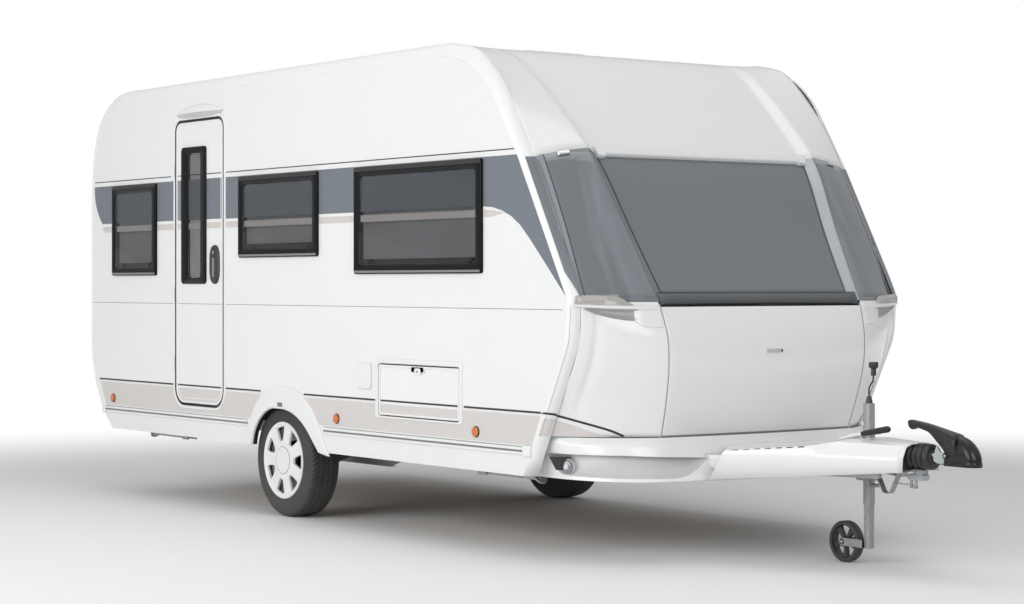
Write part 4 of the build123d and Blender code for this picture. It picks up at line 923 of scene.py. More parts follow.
def locker_lid():
    """Bowed forwards by a parabola across its width, its four edges rounded over."""
    z = edge_steps(LID_LOW, LID_HIGH, LID_ROUND, 24)
    x, edge, bulge = lid_rows(z)
    y = edge * edge_steps(-1.0, 1.0, LID_ROUND / 0.65, 26)[None, :]
    rim = np.minimum(edge - np.abs(y), np.minimum(z - LID_LOW, LID_HIGH - z)[:, None])
    return grid_shape(np.stack([x + bulge * (1 - (y / edge) ** 2) - edge_drop(rim, LID_ROUND), y,
                                z[:, None] + 0 * y], -1))


def lid_foot():
    """The back of the joint under the lid."""
    z = np.linspace(0.594, 0.616, 3)
    x, edge, bulge = lid_rows(np.maximum(z, LID_LOW))
    y = (edge + 0.004) * np.linspace(-1, 1, 25)[None, :]
    return grid_shape(np.stack([x + bulge * (1 - (y / edge) ** 2) - 0.0055, y, z[:, None] + 0 * y], -1))


def front_rail_bar():
    """Rounded bar over the pane, thinning at both ends, on a bracket at each end."""
    rows = front_rows(HOOD_STATION, HOOD_STATION)
    x, z, slope, rib, _, recess = rows[0]
    turn = np.radians(slope)
    out = np.array((np.sin(turn), 0, np.cos(turn)))
    foot = np.array((x, 0, z)) - out * recess
    y = np.linspace(-1, 1, 41) * (rib - RIB_BEVEL - 0.006)
    end = np.clip((rib - RIB_BEVEL - 0.006 - np.abs(y)) / 0.03, 0, 1)
    path = foot + np.stack([0 * y, y, 0 * y], -1) + out * 0.008
    rail = bar(path, rounded((-0.022, 0.022), (-0.010, 0.021), (0.003, 0.011)), up=out,
               scale=0.72 + 0.28 * end ** 0.5)
    side = (rib - RIB_BEVEL - 0.045, rib - RIB_BEVEL + 0.004)
    bracket = [bar(foot + np.array([(0, s * side[0], 0), (0, s * side[1], 0)]) + out * 0.010,
                   rounded((-0.034, 0.030), (-0.012, 0.018), 0.006), up=out) for s in (-1, 1)]
    return merged([rail] + bracket)


build("hood_moulding", hood(), GEL_COAT, replaces=["front_hood"], thick=0.012)
# The pillars' pale streaks are painted reflections.
build("front_pillar_mouldings", both(pillar()), SLATE_SHEEN, replaces=["front_pillars"], thick=0.012)
build("front_pane", front_pane(), SLATE_GLASS, replaces=["front_window"], thick=0.012)
build("front_sill", sill(), SILL_GLASS, thick=0.006)
build("pillar_lines", both(pillar_line(*PILLAR_LINE)), INK)
# Painted sheen: a paler strip beside each pillar line.
build("pillar_sheens", both(pillar_line(*PILLAR_SHEEN)), SHEEN)
# The bevel films carry a painted reflection: bright where a bevel faces the view, dark where it turns away.
build("bevel_films", both(bevel_strip(0.002)), BEVEL_REFLECTION_FILM)
build("lid_seams", both(lid_seam()), SEAM_GREY)
build("lid_foot_seam", lid_foot(), GREY_LINE)
build("cheek_mouldings", both(cheek()), GEL_COAT, replaces=["front_cheeks"], thick=0.010)
build("lid_skin", locker_lid(), GEL_COAT, "locker_lid", replaces=["locker_lid"], thick=0.020)
build("front_rail_bar", front_rail_bar(), WHITE_PLASTIC, replaces=["front_rail"])


# ------------------------------------------------------------------ windows
SIDE_WINDOWS = {"rear": ((-2.117, -1.502), (1.398, 1.980)), "middle": ((-0.434, 0.465), (1.500, 1.980)),
                "front": ((0.856, 2.059), (1.399, 1.980))}
PANE_OUT = 0.0175


def between_outlines(outer, inner, rows):
    """A closed rim lofted from one flat outline to another; rows are (share inwards, height)."""
    return loft(np.array([raised(outer + (inner - outer) * share, height) for share, height in rows]),
                ring=True)


def rim_rows(height, ease=0.12, base=-0.001):
    """Rows for a rim with both of its upper edges rounded."""
    turn = np.linspace(0, pi / 2, 5)
    rise, run = height * np.sin(turn), ease * (1 - np.cos(turn))
    return [(0, base)] + list(zip(run, rise)) + list(zip(1 - run[::-1], rise[::-1])) + [(1, base)]


BORDER, INNER_CORNER = 0.046, 0.036


def jamb(u, v, border, corner, high, low):
    """The black surround behind the glass: it narrows a little as it goes into the wall."""
    rows = [(0.0, high), (0.0, high - 0.004), (0.004, high - 0.010), (0.010, low)]
    loops = [raised(rounded(u, v, corner + border, border + inset), height) for inset, height in rows]
    return grid_shape(np.array(loops), False, True)


def window_parts(u, v, out):
    """One opening window: black border, tinted glass, surround and blind behind it, strips and catches."""
    inner = rounded(u, v, INNER_CORNER + BORDER, BORDER)
    edge = [(0, -0.001), (0, out - 0.004), (0.03, out - 0.001), (0.09, out)]
    border = between_outlines(rounded(u, v, 0.016), inner, edge + [(0.97, out), (1, out - 0.001), (1, 0.0)])
    glass_u, glass_v = narrowed(u, BORDER), narrowed(v, BORDER)
    glass = plate(glass_u, glass_v, INNER_CORNER, out - 0.0012, 0.0004, out - 0.004)
    blind_u, blind_v = narrowed(glass_u, -0.004), narrowed(glass_v, -0.004)
    blind = plate(blind_u, blind_v, 0.010, -0.0155, 0.001, -0.020)
    cassette = plate(blind_u, (blind_v[1] - 0.050, blind_v[1]), 0.004, -0.006, 0.003, -0.020)
    foot = plate(blind_u, (blind_v[0], blind_v[0] + 0.040), 0.004, -0.008, 0.003, -0.020)
    drip = plate(narrowed(u, 0.006), (v[0] + 0.007, v[0] + 0.019), 0.004, out + 0.0008, 0.0006, out - 0.002)
    hinge = plate(narrowed(u, 0.003), (v[1] - 0.024, v[1] - 0.003), 0.006, out + 0.0005, 0.0005,
                  out - 0.002)
    catches = []
    for end, way in ((glass_u[0], 1), (glass_u[1], -1)):
        edges = sorted((end + way * 0.040, end + way * 0.108))
        stem = sorted((end + way * 0.068, end + way * 0.092))
        catches.append(plate(edges, (glass_v[0] + 0.022, glass_v[0] + 0.036), 0.005, 0.010, 0.002, -0.004))
        catches.append(plate(stem, (glass_v[0] - 0.002, glass_v[0] + 0.026), 0.005, 0.008, 0.002, -0.004))
    surround = jamb(u, v, BORDER, INNER_CORNER, out - 0.002, -0.019)
    return {"borders": border, "surrounds": merged([surround, cassette, foot]), "glass": glass,
            "blinds": blind, "drips": drip, "hinges": hinge, "catches": merged(catches)}


WINDOW_FINISH = {"borders": BLACK_GLOSS, "surrounds": BLACK_PLASTIC, "glass": TINTED, "blinds": BLIND,
                 "drips": MID_GREY, "hinges": DARK_GREY, "catches": BLACK_PLASTIC}


def build_windows():
    """Side windows as one set, and the rear window."""
    sides = [window_parts(*SIDE_WINDOWS[name], PANE_OUT) for name in SIDE_WINDOWS]
    far = [window_parts(*SIDE_WINDOWS[name], PANE_OUT) for name in ("rear", "front")]
    rear = window_parts((-0.560, 0.560), (1.398, 1.985), PANE_OUT)
    for kind, finish in WINDOW_FINISH.items():
        near = [on("right", parts[kind]) for parts in sides]
        shape = merged(near + [mirrored(on("right", parts[kind])) for parts in far])
        build("side_window_" + kind, shape, finish, replaces=["side_windows"])
        build("rear_window_" + kind, on("rear", rear[kind]), finish, replaces=["rear_window"])


build_windows()


# ------------------------------------------------------------------ entrance door
DOOR_GLASS_X, DOOR_GLASS_Z = (-1.165, -0.851), (1.345, 2.186)
DOOR_BANDS = [("door_slate_band", SLATE_Z, SLATE_SKIN), ("door_beige_band", BEIGE_Z, BEIGE_SKIN),
              ("door_upper_line", UPPER_LINE_Z, INK), ("door_sheet_joint", SHEET_JOINT_Z, GREY_LINE),
              ("door_pin_line", PIN_LINE_Z, INK)]
HANDLE_X, HANDLE_Z = -0.743, (1.345, 1.580)
DOOR_HINGES_Z = (0.860, 1.280, 2.050)


def door_outline(inset):
    """The door's outline, drawn in by inset."""
    return rounded(DOOR_X, DOOR_Z, DOOR_RADII, inset)


def door_rim(outer, inner, rows):
    """A rim that follows the door's outline between two insets."""
    return on("right", between_outlines(door_outline(outer), door_outline(inner), rows))


def greige_on_door():
    """The greige film at the door's foot, with the door's own rounded corners."""
    points = door_outline(0.0165)
    low = points[points[:, 1] < PIN_Z]
    rise = low[np.argsort(low[:, 0])]
    return film(np.concatenate([rise, [(rise[-1, 0], PIN_Z), (rise[0, 0], PIN_Z)]]))


def handle_outline(inset):
    """An upright oval with full shoulders, drawn in by inset."""
    turn = np.linspace(0, 2 * pi, 64, endpoint=False)
    across, up = np.cos(turn), np.sin(turn)
    half_width, half_height = 0.060 - inset, (HANDLE_Z[1] - HANDLE_Z[0]) / 2 - inset
    oval = np.column_stack([half_width * np.sign(across) * np.abs(across) ** 0.85,
                            half_height * np.sign(up) * np.abs(up) ** 0.62])
    return oval + (HANDLE_X, (HANDLE_Z[0] + HANDLE_Z[1]) / 2)


def build_door():
    """Trim of the entrance door. What swings with the door rides on it."""
    opening, door = "caravan", "entrance_door"
    build("door_frame_trim", door_rim(-0.030, -0.0115, rim_rows(0.007, 0.25)), WHITE_PLASTIC, opening)
    build("door_seal", door_rim(-0.0114, -0.0014, rim_rows(0.0040, 0.25, -0.004)), SOFT_BLACK, opening)
    build("door_edge_trim", door_rim(0.0045, 0.0185, rim_rows(0.0045, 0.25)), WHITE_PLASTIC, door)
    build("door_edge_line", door_rim(0.0002, 0.0046, rim_rows(0.0032, 0.3)), SOFT_BLACK, door)
    build("door_inner_line", door_rim(0.034, 0.0385, rim_rows(0.0012, 0.3)), WHITE_PLASTIC, door)
    for name, levels, finish in DOOR_BANDS:
        build(name, strip(*narrowed(DOOR_X, 0.015), *levels), finish, door)
    build("door_greige_band", greige_on_door(), GREIGE_SKIN, door)
    glass_u, glass_v = (-1.070, -0.917), (1.388, 2.140)
    inner = rounded(glass_u, glass_v, 0.024, -0.006)
    edge = [(0, -0.001), (0, 0.008), (0.04, 0.011), (0.10, 0.0117), (0.96, 0.0117), (1, 0.010), (1, -0.012)]
    pane = between_outlines(rounded(DOOR_GLASS_X, DOOR_GLASS_Z, 0.024), inner, edge)
    build("door_pane", on("right", pane), BLACK_GLOSS, door, replaces=["door_window"])
    glass = plate(narrowed(glass_u, -0.005), narrowed(glass_v, -0.005), 0.026, 0.0105, 0.0004, 0.0080)
    build("door_glass", on("right", glass), TINTED, door)
    blind = plate(narrowed(glass_u, -0.008), narrowed(glass_v, -0.008), 0.022, -0.008, 0.0010, -0.014)
    build("door_blind", on("right", blind), WINDOW_BLIND, door)
    layers = [(0.0, 0.0), (0.0, 0.005), (0.003, 0.009), (0.009, 0.0125), (0.020, 0.0150), (0.034, 0.0155)]
    lens = loft(np.array([raised(handle_outline(inset), height) for inset, height in layers]))
    build("door_handle_cover", on("right", lens), BLACK_PLASTIC, door, replaces=["door_handle"])
    grip = plate((HANDLE_X - 0.013, HANDLE_X + 0.016), (1.385, 1.505), 0.012, 0.0160, 0.003, 0.010)
    key = lathe([(0.010, 0.010), (0.010, 0.0158), (0.008, 0.0160), (0.0, 0.0160)],
                (HANDLE_X, -SIDE_Y, 1.537), "y-", 24)
    build("door_handle_grip", on("right", grip), MID_GREY, door)
    build("door_handle_key", key, CHROME, door)
    hinges = [plate((DOOR_X[0] - 0.052, DOOR_X[0] - 0.012), (z - 0.045, z + 0.045), 0.006, 0.011, 0.003)
              for z in DOOR_HINGES_Z]
    build("door_hinge_covers", on("right", merged(hinges)), WHITE_PLASTIC, opening)


build_door()


# ------------------------------------------------------------------ awning light, flaps and vents
AWNING_X, NOSE_Z = (-1.241, -0.635), 2.392


def awning_light():
    """A hood pointed at both ends: white above its nose, and a grey lens tucked in below it."""
    t = np.linspace(-1, 1, 49)[:, None]
    x = (AWNING_X[0] + AWNING_X[1]) / 2 + t * (AWNING_X[1] - AWNING_X[0]) / 2
    out = 0.033 * np.clip(1 - np.abs(t) ** 2.4, 0, 1)
    top = NOSE_Z + 0.052 * (1 - t * t)
    foot = NOSE_Z - 0.037 * np.clip((1 - np.abs(t)) / 0.19, 0, 1)
    s = np.linspace(0, 1, 12)[None, :]
    y_upper, z_upper = out * np.sin(s * pi / 2) ** 0.75, top + (NOSE_Z - top) * s
    y_lower, z_lower = out * (1 - s) * 0.96, NOSE_Z + (foot - NOSE_Z) * s
    upper = np.stack([x + 0 * s, -SIDE_Y - y_upper, z_upper], -1)
    lower = np.stack([x + 0 * s, -SIDE_Y - y_lower, z_lower], -1)
    return flipped(grid_shape(upper)), flipped(grid_shape(lower))


hood_shape, lens_shape = awning_light()
build("awning_light_hood", hood_shape, WHITE_PLASTIC, replaces=["awning_light"], thick=0.001)
build("awning_light_lens", lens_shape, LIGHT_GREY, thick=0.001)

# x and z of each frame and of the flap inside it; corner radius and width of the flap's border.
SERVICE_FRAME, SERVICE_FLAP = ((1.062, 1.883), (0.628, 0.950)), ((1.094, 1.851), (0.645, 0.914))
TOILET_FRAME, TOILET_FLAP = ((-1.720, -1.340), (0.628, 0.960)), ((-1.688, -1.372), (0.645, 0.924))
FLAP_CORNER, FLAP_BORDER = 0.014, 0.013


def flap_set(frame_place, flap_place):
    """A moulded frame; the flap's raised border with its latch; the lock."""
    (u, v), (fu, fv) = frame_place, flap_place
    inner = rounded(fu, fv, FLAP_CORNER, -0.006)
    frame = between_outlines(rounded(u, v, 0.022), inner, rim_rows(0.010, 0.22))
    border = ring(fu, fv, FLAP_CORNER, FLAP_BORDER, 0.0045, 0.002, -0.0005)
    middle = (fu[0] + fu[1]) / 2
    latch = plate((middle - 0.062, middle + 0.062), (fv[1] - 0.034, fv[1] - 0.002), 0.012, 0.008, 0.003)
    knob = plate((middle - 0.030, middle + 0.030), (fv[1] - 0.046, fv[1] - 0.010), 0.012, 0.0095, 0.003)
    lock = plate((middle - 0.006, middle + 0.006), (fv[1] - 0.034, fv[1] - 0.022), 0.0058, 0.0100, 0.0005,
                 0.008)
    return frame, merged([border, latch, knob]), lock


def flap_sheet(place):
    """The greige film on a flap, inside its border."""
    return strip(*narrowed(place[0], FLAP_BORDER), place[1][0] + FLAP_BORDER, PIN_Z)


def build_flaps():
    """Both flaps: their frames stay on the wall, the rest swings."""
    frame, face, lock = (on("right", part) for part in flap_set(SERVICE_FRAME, SERVICE_FLAP))
    far = [mirrored(on("right", part)) for part in flap_set(TOILET_FRAME, TOILET_FLAP)]
    build("flap_frame_mouldings", merged([frame, far[0]]), WHITE_PLASTIC, replaces=["flap_frames"])
    bands, lines = zip(*[(flap_sheet(place), strip(*place[0], *PIN_LINE_Z))
                         for place in (SERVICE_FLAP, TOILET_FLAP)])
    sets = (("service_flap", face, lock, bands[0], lines[0]),
            ("toilet_flap", far[1], far[2], mirrored(bands[1]), mirrored(lines[1])))
    for body, border, key, band, line in sets:
        build(body + "_border", border, WHITE_PLASTIC, body)
        build(body + "_lock", key, BLACK_PLASTIC, body)
        build(body + "_band", band, GREIGE_SKIN, body)
        build(body + "_line", line, INK, body)


build_flaps()
INLET_X, INLET_Z = (0.885, 1.020), (0.780, 0.922)   # the flap over the electric inlet
inlet = plate(INLET_X, INLET_Z, (0.024, 0.010), 0.016, 0.005)
inlet_lip = plate((0.892, 1.013), (0.776, 0.790), 0.006, 0.012, 0.004)
build("inlet_cover", on("right", merged([inlet, inlet_lip])), WHITE_PLASTIC)


# ------------------------------------------------------------------ skirt rails, arch trims and lamps
def rail_run(starts, z_low, z_high, proud, edge):
    """Level half-round mouldings between pairs of stations, with rounded ends."""
    return merged([on("right", plate(ends, (z_low, z_high), edge, proud, edge * 0.9)) for ends in starts])


ARCH_REAR, ARCH_FRONT = -0.342, 0.500
LOWER_RAILS_Z, UPPER_RAIL_Z = ((0.531, 0.546), (0.507, 0.522)), (0.7060, 0.7155)
LOWER_RUNS = [(-2.250, ARCH_REAR), (ARCH_FRONT + 0.014, 2.430)]
NEAR_UPPER = [(-2.325, DOOR_X[0] - 0.030), (DOOR_X[1] + 0.028, ARCH_STOPS[0]), (ARCH_STOPS[1], 1.050),
              (1.895, 2.540)]
FAR_UPPER = [(-2.325, -1.732), (-1.328, ARCH_STOPS[0]), (ARCH_STOPS[1], 2.540)]


def build_skirt_rails():
    """Two white mouldings low down with painted shadow in the gap between them, and the thin one under the
    pin line.
    """
    lower = merged([rail_run(LOWER_RUNS, *levels, 0.0115, 0.006) for levels in LOWER_RAILS_Z])
    # The grey strip in the gap between the lower mouldings is painted shadow; the thin one above them is a
    # dark line.
    shadow = merged([strip(*ends, 0.5225, 0.5305, 0.002) for ends in LOWER_RUNS])
    top_line = merged([strip(*ends, 0.5465, 0.5495, 0.0008) for ends in LOWER_RUNS])
    near, far = (rail_run(runs, *UPPER_RAIL_Z, 0.0050, 0.004) for runs in (NEAR_UPPER, FAR_UPPER))
    ends = [plate((2.405, 2.470), (0.500, 0.556), 0.010, 0.0135, 0.005),
            plate((-2.268, -2.235), (0.500, 0.553), 0.008, 0.0135, 0.005)]
    caps = on("right", merged(ends))
    build("skirt_mouldings", merged([both(lower), near, mirrored(far), both(caps)]), RAIL_PAINT,
          replaces=["skirt_rails"])
    build("skirt_gap_shadows_and_lines", both(merged([shadow, top_line])), GREY_LINE)


ARCH_OUTER = [(-0.300, 0.404, 0), (-0.338, 0.515, 0), (-0.302, 0.560, 0), (-0.020, 0.758, 0.400),
              (0.130, 0.758, 0), (0.462, 0.566, 0.450), (0.583, 0.386, 0)]
ARCH_LIP = [(-0.286, 0.404, 0), (-0.279, 0.432, 0), (-0.270, 0.460, 0), (-0.050, 0.626, 0.290),
            (0.070, 0.626, 0), (0.362, 0.504, 0.480), (0.470, 0.404, 0)]
ARCH_STEPS = (4, 4, 18, 8, 18, 12)
# Across the trim from its outer edge to the rolled lip: share of the width, and height off the wall.
ARCH_SECTION = [(0.0, -0.002), (0.0, 0.003), (0.012, 0.0065), (0.04, 0.0085), (0.10, 0.0100),
                (0.30, 0.0128), (0.60, 0.0135), (0.85, 0.0138), (0.92, 0.0132), (0.97, 0.0105),
                (0.995, 0.006), (1.0, 0.000), (1.0, -0.005)]
LINING_SECTION = [(0.998, -0.004), (1.0, -0.006), (1.0, -0.030)]


def arch_surface(section):
    """A surface between the two outlines of the arch, which follows a section across it."""
    outer, lip = trace(ARCH_OUTER, ARCH_STEPS), trace(ARCH_LIP, ARCH_STEPS)
    share, height = np.array(section).T[:, None, :]
    flat = outer[:, None] * (1 - share[..., None]) + lip[:, None] * share[..., None]
    grid = np.stack([flat[..., 0], np.broadcast_to(-SIDE_Y - height, flat.shape[:2]), flat[..., 1]], -1)
    return grid_shape(grid)


def arch_vent():
    """The small louvred plate at the top of the arch."""
    frame = plate((0.026, 0.084), (0.640, 0.664), 0.004, 0.0147, 0.001, 0.010)
    bars = [plate((0.030, 0.080), (z, z + 0.0025), 0.001, 0.0158, 0.0005, 0.012)
            for z in (0.645, 0.6508, 0.6566)]
    return merged([frame] + bars)


MARKER_X = (-2.122, 0.658, 1.999)


def marker_lamp(x, z):
    """A round side lamp: black ring and a domed lens with a step."""
    ring_rows = [(0.0290, -0.001), (0.0290, 0.004), (0.0275, 0.0052), (0.0255, 0.0052), (0.0255, -0.001)]
    dome = [(0.0252, 0.0), (0.0252, 0.0100), (0.0235, 0.0132), (0.0190, 0.0149), (0.0120, 0.0156),
            (0.0060, 0.0160), (0.0, 0.0160)]
    spot = (x, -SIDE_Y, z)
    return lathe(ring_rows, spot, "y-", 40), lathe(dome, spot, "y-", 40)


def build_side_lamps():
    """Three round lamps low down on each side."""
    rings, lenses = zip(*[marker_lamp(x, 0.600) for x in MARKER_X])
    build("marker_lamp_rings", both(merged(rings)), SOFT_BLACK, replaces=["marker_lamps"])
    build("marker_lamp_lenses", both(merged(lenses)), AMBER)


def rear_lamp():
    """An upright cluster: a dark base and three lens fields stacked on it."""
    base = plate((-1.035, -0.885), (1.010, 1.360), 0.038, 0.014, 0.005)
    fields = [plate((-1.026, -0.894), levels, 0.026, 0.0305, 0.009, 0.010)
              for levels in ((1.018, 1.120), (1.124, 1.222), (1.226, 1.352))]
    return on("rear", base), [on("rear", field) for field in fields]


build_skirt_rails()
build("arch_mouldings", both(arch_surface(ARCH_SECTION)), WHITE_PLASTIC, replaces=["arch_trims"],
      thick=0.002)
build("arch_linings", both(arch_surface(LINING_SECTION)), SOFT_BLACK, thick=0.002)
build("arch_vents", both(on("right", arch_vent())), MID_GREY)
build_side_lamps()
lamp_base, lamp_fields = rear_lamp()
build("rear_lamp_bases", both(lamp_base), BLACK_PLASTIC, replaces=["rear_lamps"])
for lamp_name, field, finish in zip(("reverse", "indicator", "stop"), lamp_fields, (CLEAR, AMBER, RED)):
    build("rear_" + lamp_name + "_lenses", both(field), finish)


# ------------------------------------------------------------------ running gear
WHEELS = (("right", -TYRE_Y, "y-"), ("left", TYRE_Y, "y+"))
# Half of the tyre's section from the bead to the middle of the tread: radius, distance from its middle.
TYRE_SIDE = [(0.1965, 0.060), (0.200, 0.076), (0.207, 0.086), (0.218, 0.0915), (0.236, 0.0955),
             (0.262, 0.0972), (0.285, 0.0955), (0.302, 0.0915), (0.314, 0.0865), (0.3205, 0.0805)]
SIDE_RIDGES = ((0.0012, 0.2260, 0.0025), (0.0008, 0.3000, 0.0020))     # rise, radius, width
TREAD_BLOCKS, BLOCK_STEPS = 70, 8
TREAD_GROOVES = (-0.048, -0.017, 0.017, 0.048)
TREAD_HALF = 0.0755                                 # half the tread's width


def tyre(centre, axis):
    """A section turned about the hub; its tread sinks into straight grooves and slanted cross cuts."""
    side = smooth_path(TYRE_SIDE, 3)
    y = np.linspace(TREAD_HALF, -TREAD_HALF, 61)
    crown = TYRE_R - 0.0045 * (np.abs(y) / TREAD_HALF) ** 2.6
    radius = np.concatenate([side[:, 0], crown, side[::-1, 0]])
    height = np.concatenate([side[:, 1], y, -side[::-1, 1]])
    steps = TREAD_BLOCKS * BLOCK_STEPS
    turn = (np.arange(steps) / steps * 2 * pi)[:, None]
    phase = (turn / (2 * pi) * TREAD_BLOCKS + np.abs(height) * 26 * np.sign(height)) % 1.0
    on_tread = radius > 0.3120
    long_cut = sum(np.exp(-((height - g) / 0.0030) ** 4) for g in TREAD_GROOVES) * (radius > 0.3215)
    shoulder = np.abs(height) > 0.050
    cross = np.exp(-((phase - 0.5) / np.where(shoulder, 0.17, 0.10)) ** 4) * on_tread
    cross = cross * np.where(shoulder, 1.0, 0.6)
    depth = np.maximum(long_cut * 0.0075, cross * 0.0050)
    ridge = sum(rise * np.exp(-((radius - at) / width) ** 2) for rise, at, width in SIDE_RIDGES)
    r = radius - depth
    h = height + np.sign(height) * ridge
    a, b = r * np.cos(turn), r * np.sin(turn)
    grid = np.stack(along_axis(a, b, np.broadcast_to(h, a.shape), axis), -1) + centre
    return grid_shape(grid, True)


CAP_WINDOWS = 7
CAP_DISC, CAP_BAND = 0.0820, 0.2020          # radii between which the windows lie
# The cap's face: radius and distance from the wheel's middle. Then the corners of one window.
CAP_FACE = [(0.0, 0.1012), (0.0740, 0.1005), (0.0790, 0.0990), (0.0820, 0.0982), (0.1100, 0.0965),
            (0.1500, 0.0940), (0.1850, 0.0925), (0.1960, 0.0935), (0.2060, 0.0975), (0.2140, 0.1005),
            (0.2190, 0.1000), (0.2219, 0.0975)]
CAP_WINDOW = [(0.1120, 0.0, 0), (0.1120, 0.015, 0), (0.1930, 0.047, 0), (0.1930, 0.0, 0),
              (0.1930, -0.047, 0), (0.1120, -0.015, 0), (0.1120, 0.0, 0)]
WINDOW_MIDDLE = 0.1580


def cap_height(radius):
    """Height of the cap's face over the wheel's middle plane."""
    table = smooth_path(CAP_FACE, 6)
    return np.interp(radius, table[:, 0], table[:, 1])


def cap_sector():
    """One sector of the face, from its own edge in to the rounded window, which it leaves open."""
    half = pi / CAP_WINDOWS
    arc = np.linspace(-half, half, 25)
    edge = np.concatenate([CAP_BAND * np.column_stack([np.cos(arc), np.sin(arc)]),
                           CAP_DISC * np.column_stack([np.cos(arc[::-1]), np.sin(arc[::-1])])])
    edge = np.concatenate([edge, edge[:1]])
    steps = np.linspace(0, 1, 13)[:-1, None]
    edge = np.concatenate([a + (b - a) * steps for a, b in zip(edge[:-1], edge[1:])])
    window = softened(CAP_WINDOW, 0.018)[:-1, :2]
    window = np.concatenate([a + (b - a) * steps for a, b in zip(window, np.roll(window, -1, 0))])
    corners = np.array([(r * np.cos(half), r * np.sin(half)) for r in (CAP_BAND, CAP_DISC)])
    corners -= (WINDOW_MIDDLE, 0)
    corner_turns = np.arctan2(corners[:, 1], corners[:, 0])
    turns = np.unique(np.concatenate([np.linspace(-pi, pi, 73)[:-1], corner_turns, -corner_turns]))
    rims = []
    for line in (edge, window):
        arm = line - (WINDOW_MIDDLE, 0)
        angle, reach = np.arctan2(arm[:, 1], arm[:, 0]), np.hypot(*arm.T)
        rims.append(np.interp(turns, *np.array(sorted(zip(angle, reach))).T, period=2 * pi))
    share = np.array([0, 0.2, 0.4, 0.6, 0.8, 0.93, 1.0, 1.0, 1.0])[:, None]
    drop = np.array([0, 0, 0, 0, 0, 0, 0.0012, 0.0050, 0.0140])[:, None]
    reach = rims[0] * (1 - share) + (rims[1] + 0.0015 * np.exp(-drop / 0.002)) * share
    flat = np.stack([WINDOW_MIDDLE + reach * np.cos(turns), reach * np.sin(turns)])
    return flat[0], flat[1], cap_height(np.hypot(*flat)) - drop


def cap_trim(centre, axis):
    """The hub cap: a domed face with seven windows, a plain disc in the middle and a rolled outer ring."""
    a, b, height = cap_sector()
    pieces = []
    for i in range(CAP_WINDOWS):
        turn = i * 2 * pi / CAP_WINDOWS
        x, y = a * np.cos(turn) - b * np.sin(turn), a * np.sin(turn) + b * np.cos(turn)
        grid = np.stack(along_axis(x, y, height, axis), -1) + centre
        pieces.append(grid_shape(np.concatenate([grid, grid[:, :1]], 1)))
    radii = np.linspace(CAP_DISC, 0, 12)
    disc = [(r, cap_height(r)) for r in radii]
    band = [(r, cap_height(r)) for r in np.linspace(0.2219, CAP_BAND, 14)]
    back = [(0.2219, 0.0850), (0.2219, 0.0950)]
    return merged(pieces + [lathe(back + band, centre, axis, 98), lathe(disc, centre, axis, 98)])


def build_wheels():
    """Tyre, cap, cap ring and brake drum of both wheels; all of them turn with the wheel."""
    for side, y, axis in WHEELS:
        centre, body = (0.0, y, TYRE_R), "wheel_" + side
        build("tread_" + side, tyre(centre, axis), TYRE, body, replaces=["tyre_" + side])
        build("cap_face_" + side, cap_trim(centre, axis), WHITE_PLASTIC, body, replaces=["hub_cap_" + side])
        ring_rows = [(0.0800, 0.0930), (0.0797, 0.0996), (0.0770, 0.1006), (0.0764, 0.0930)]
        build("cap_ring_" + side, lathe(ring_rows, centre, axis, 64), MID_GREY, body)
        well = [(0.1180, -0.020), (0.1180, 0.010), (0.1100, 0.014), (0.0320, 0.014)]
        build("brake_drum_" + side, lathe(well, centre, axis, 64), BLACK_STEEL, body)


build_wheels()


# ------------------------------------------------------------------ front apron
# The outer envelope from its top down: z, x at the middle, where the front turns into the corner,
# half way round it, where the side begins, and x at the rear end.
APRON_ROWS = [(0.600, 2.938, (2.900, 0.630), (2.748, 0.868), (2.478, 1.046), 2.376),
              (0.568, 2.955, (2.935, 0.640), (2.790, 0.884), (2.480, 1.040), 2.376),
              (0.425, 3.060, (2.995, 0.640), (2.822, 0.903), (2.460, 0.985), 2.376),
              (0.396, 3.092, (3.010, 0.640), (2.840, 0.905), (2.460, 0.990), 2.240)]
APRON_Z = np.array([row[0] for row in APRON_ROWS])
CORNER_LENGTH, FRONT_LENGTH = 0.600, 1.280          # along the apron: its corner, and its whole front


def through(start, middle, end, t):
    """Points at t on a parabola through three points."""
    start, middle, end = (np.array(point, float) for point in (start, middle, end))
    control = 2 * middle - (start + end) / 2
    t = t[:, None]
    return start * (1 - t) ** 2 + 2 * control * t * (1 - t) + end * t ** 2


def apron_key(s, middle, turn, corner, side, rear):
    """Plan points of one key row at distances s along it, measured from where the side begins."""
    back = np.column_stack([side[0] + np.minimum(s, 0), np.full(len(s), side[1])])
    back[:, 0] = np.maximum(back[:, 0], rear)
    bend = through(side, corner, turn, np.clip(s / CORNER_LENGTH, 0, 1))
    front = through(turn, (middle, 0), (turn[0], -turn[1]),
                    np.clip((s - CORNER_LENGTH) / FRONT_LENGTH, 0, 1))
    s = s[:, None]
    return np.where(s < 0, back, np.where(s < CORNER_LENGTH, bend, front))


def apron_points(s, z, depth=0.0):
    """Points of the near half at distances s (columns) and heights z (rows, columns), depth inwards."""
    keys = np.array([apron_key(s, *row[1:]) for row in APRON_ROWS])
    flat = 0
    for offset in (-0.005, -0.0025, 0.0, 0.0025, 0.005):
        level = np.clip(z + offset, APRON_Z[-1], APRON_Z[0])
        upper = np.clip(np.searchsorted(-APRON_Z, -level, side="right") - 1, 0, 2)
        share = ((APRON_Z[upper] - level) / (APRON_Z[upper] - APRON_Z[upper + 1]))[..., None]
        column = np.arange(len(s))[None]
        flat = flat + (keys[upper, column] * (1 - share) + keys[upper + 1, column] * share) / 5
    along = np.gradient(flat, axis=1)
    along /= np.linalg.norm(along, axis=-1, keepdims=True) + 1e-9
    flat = flat + np.stack([along[..., 1], -along[..., 0]], -1) * np.broadcast_to(depth, z.shape)[..., None]
    return np.stack([flat[..., 0], -flat[..., 1], z], -1)


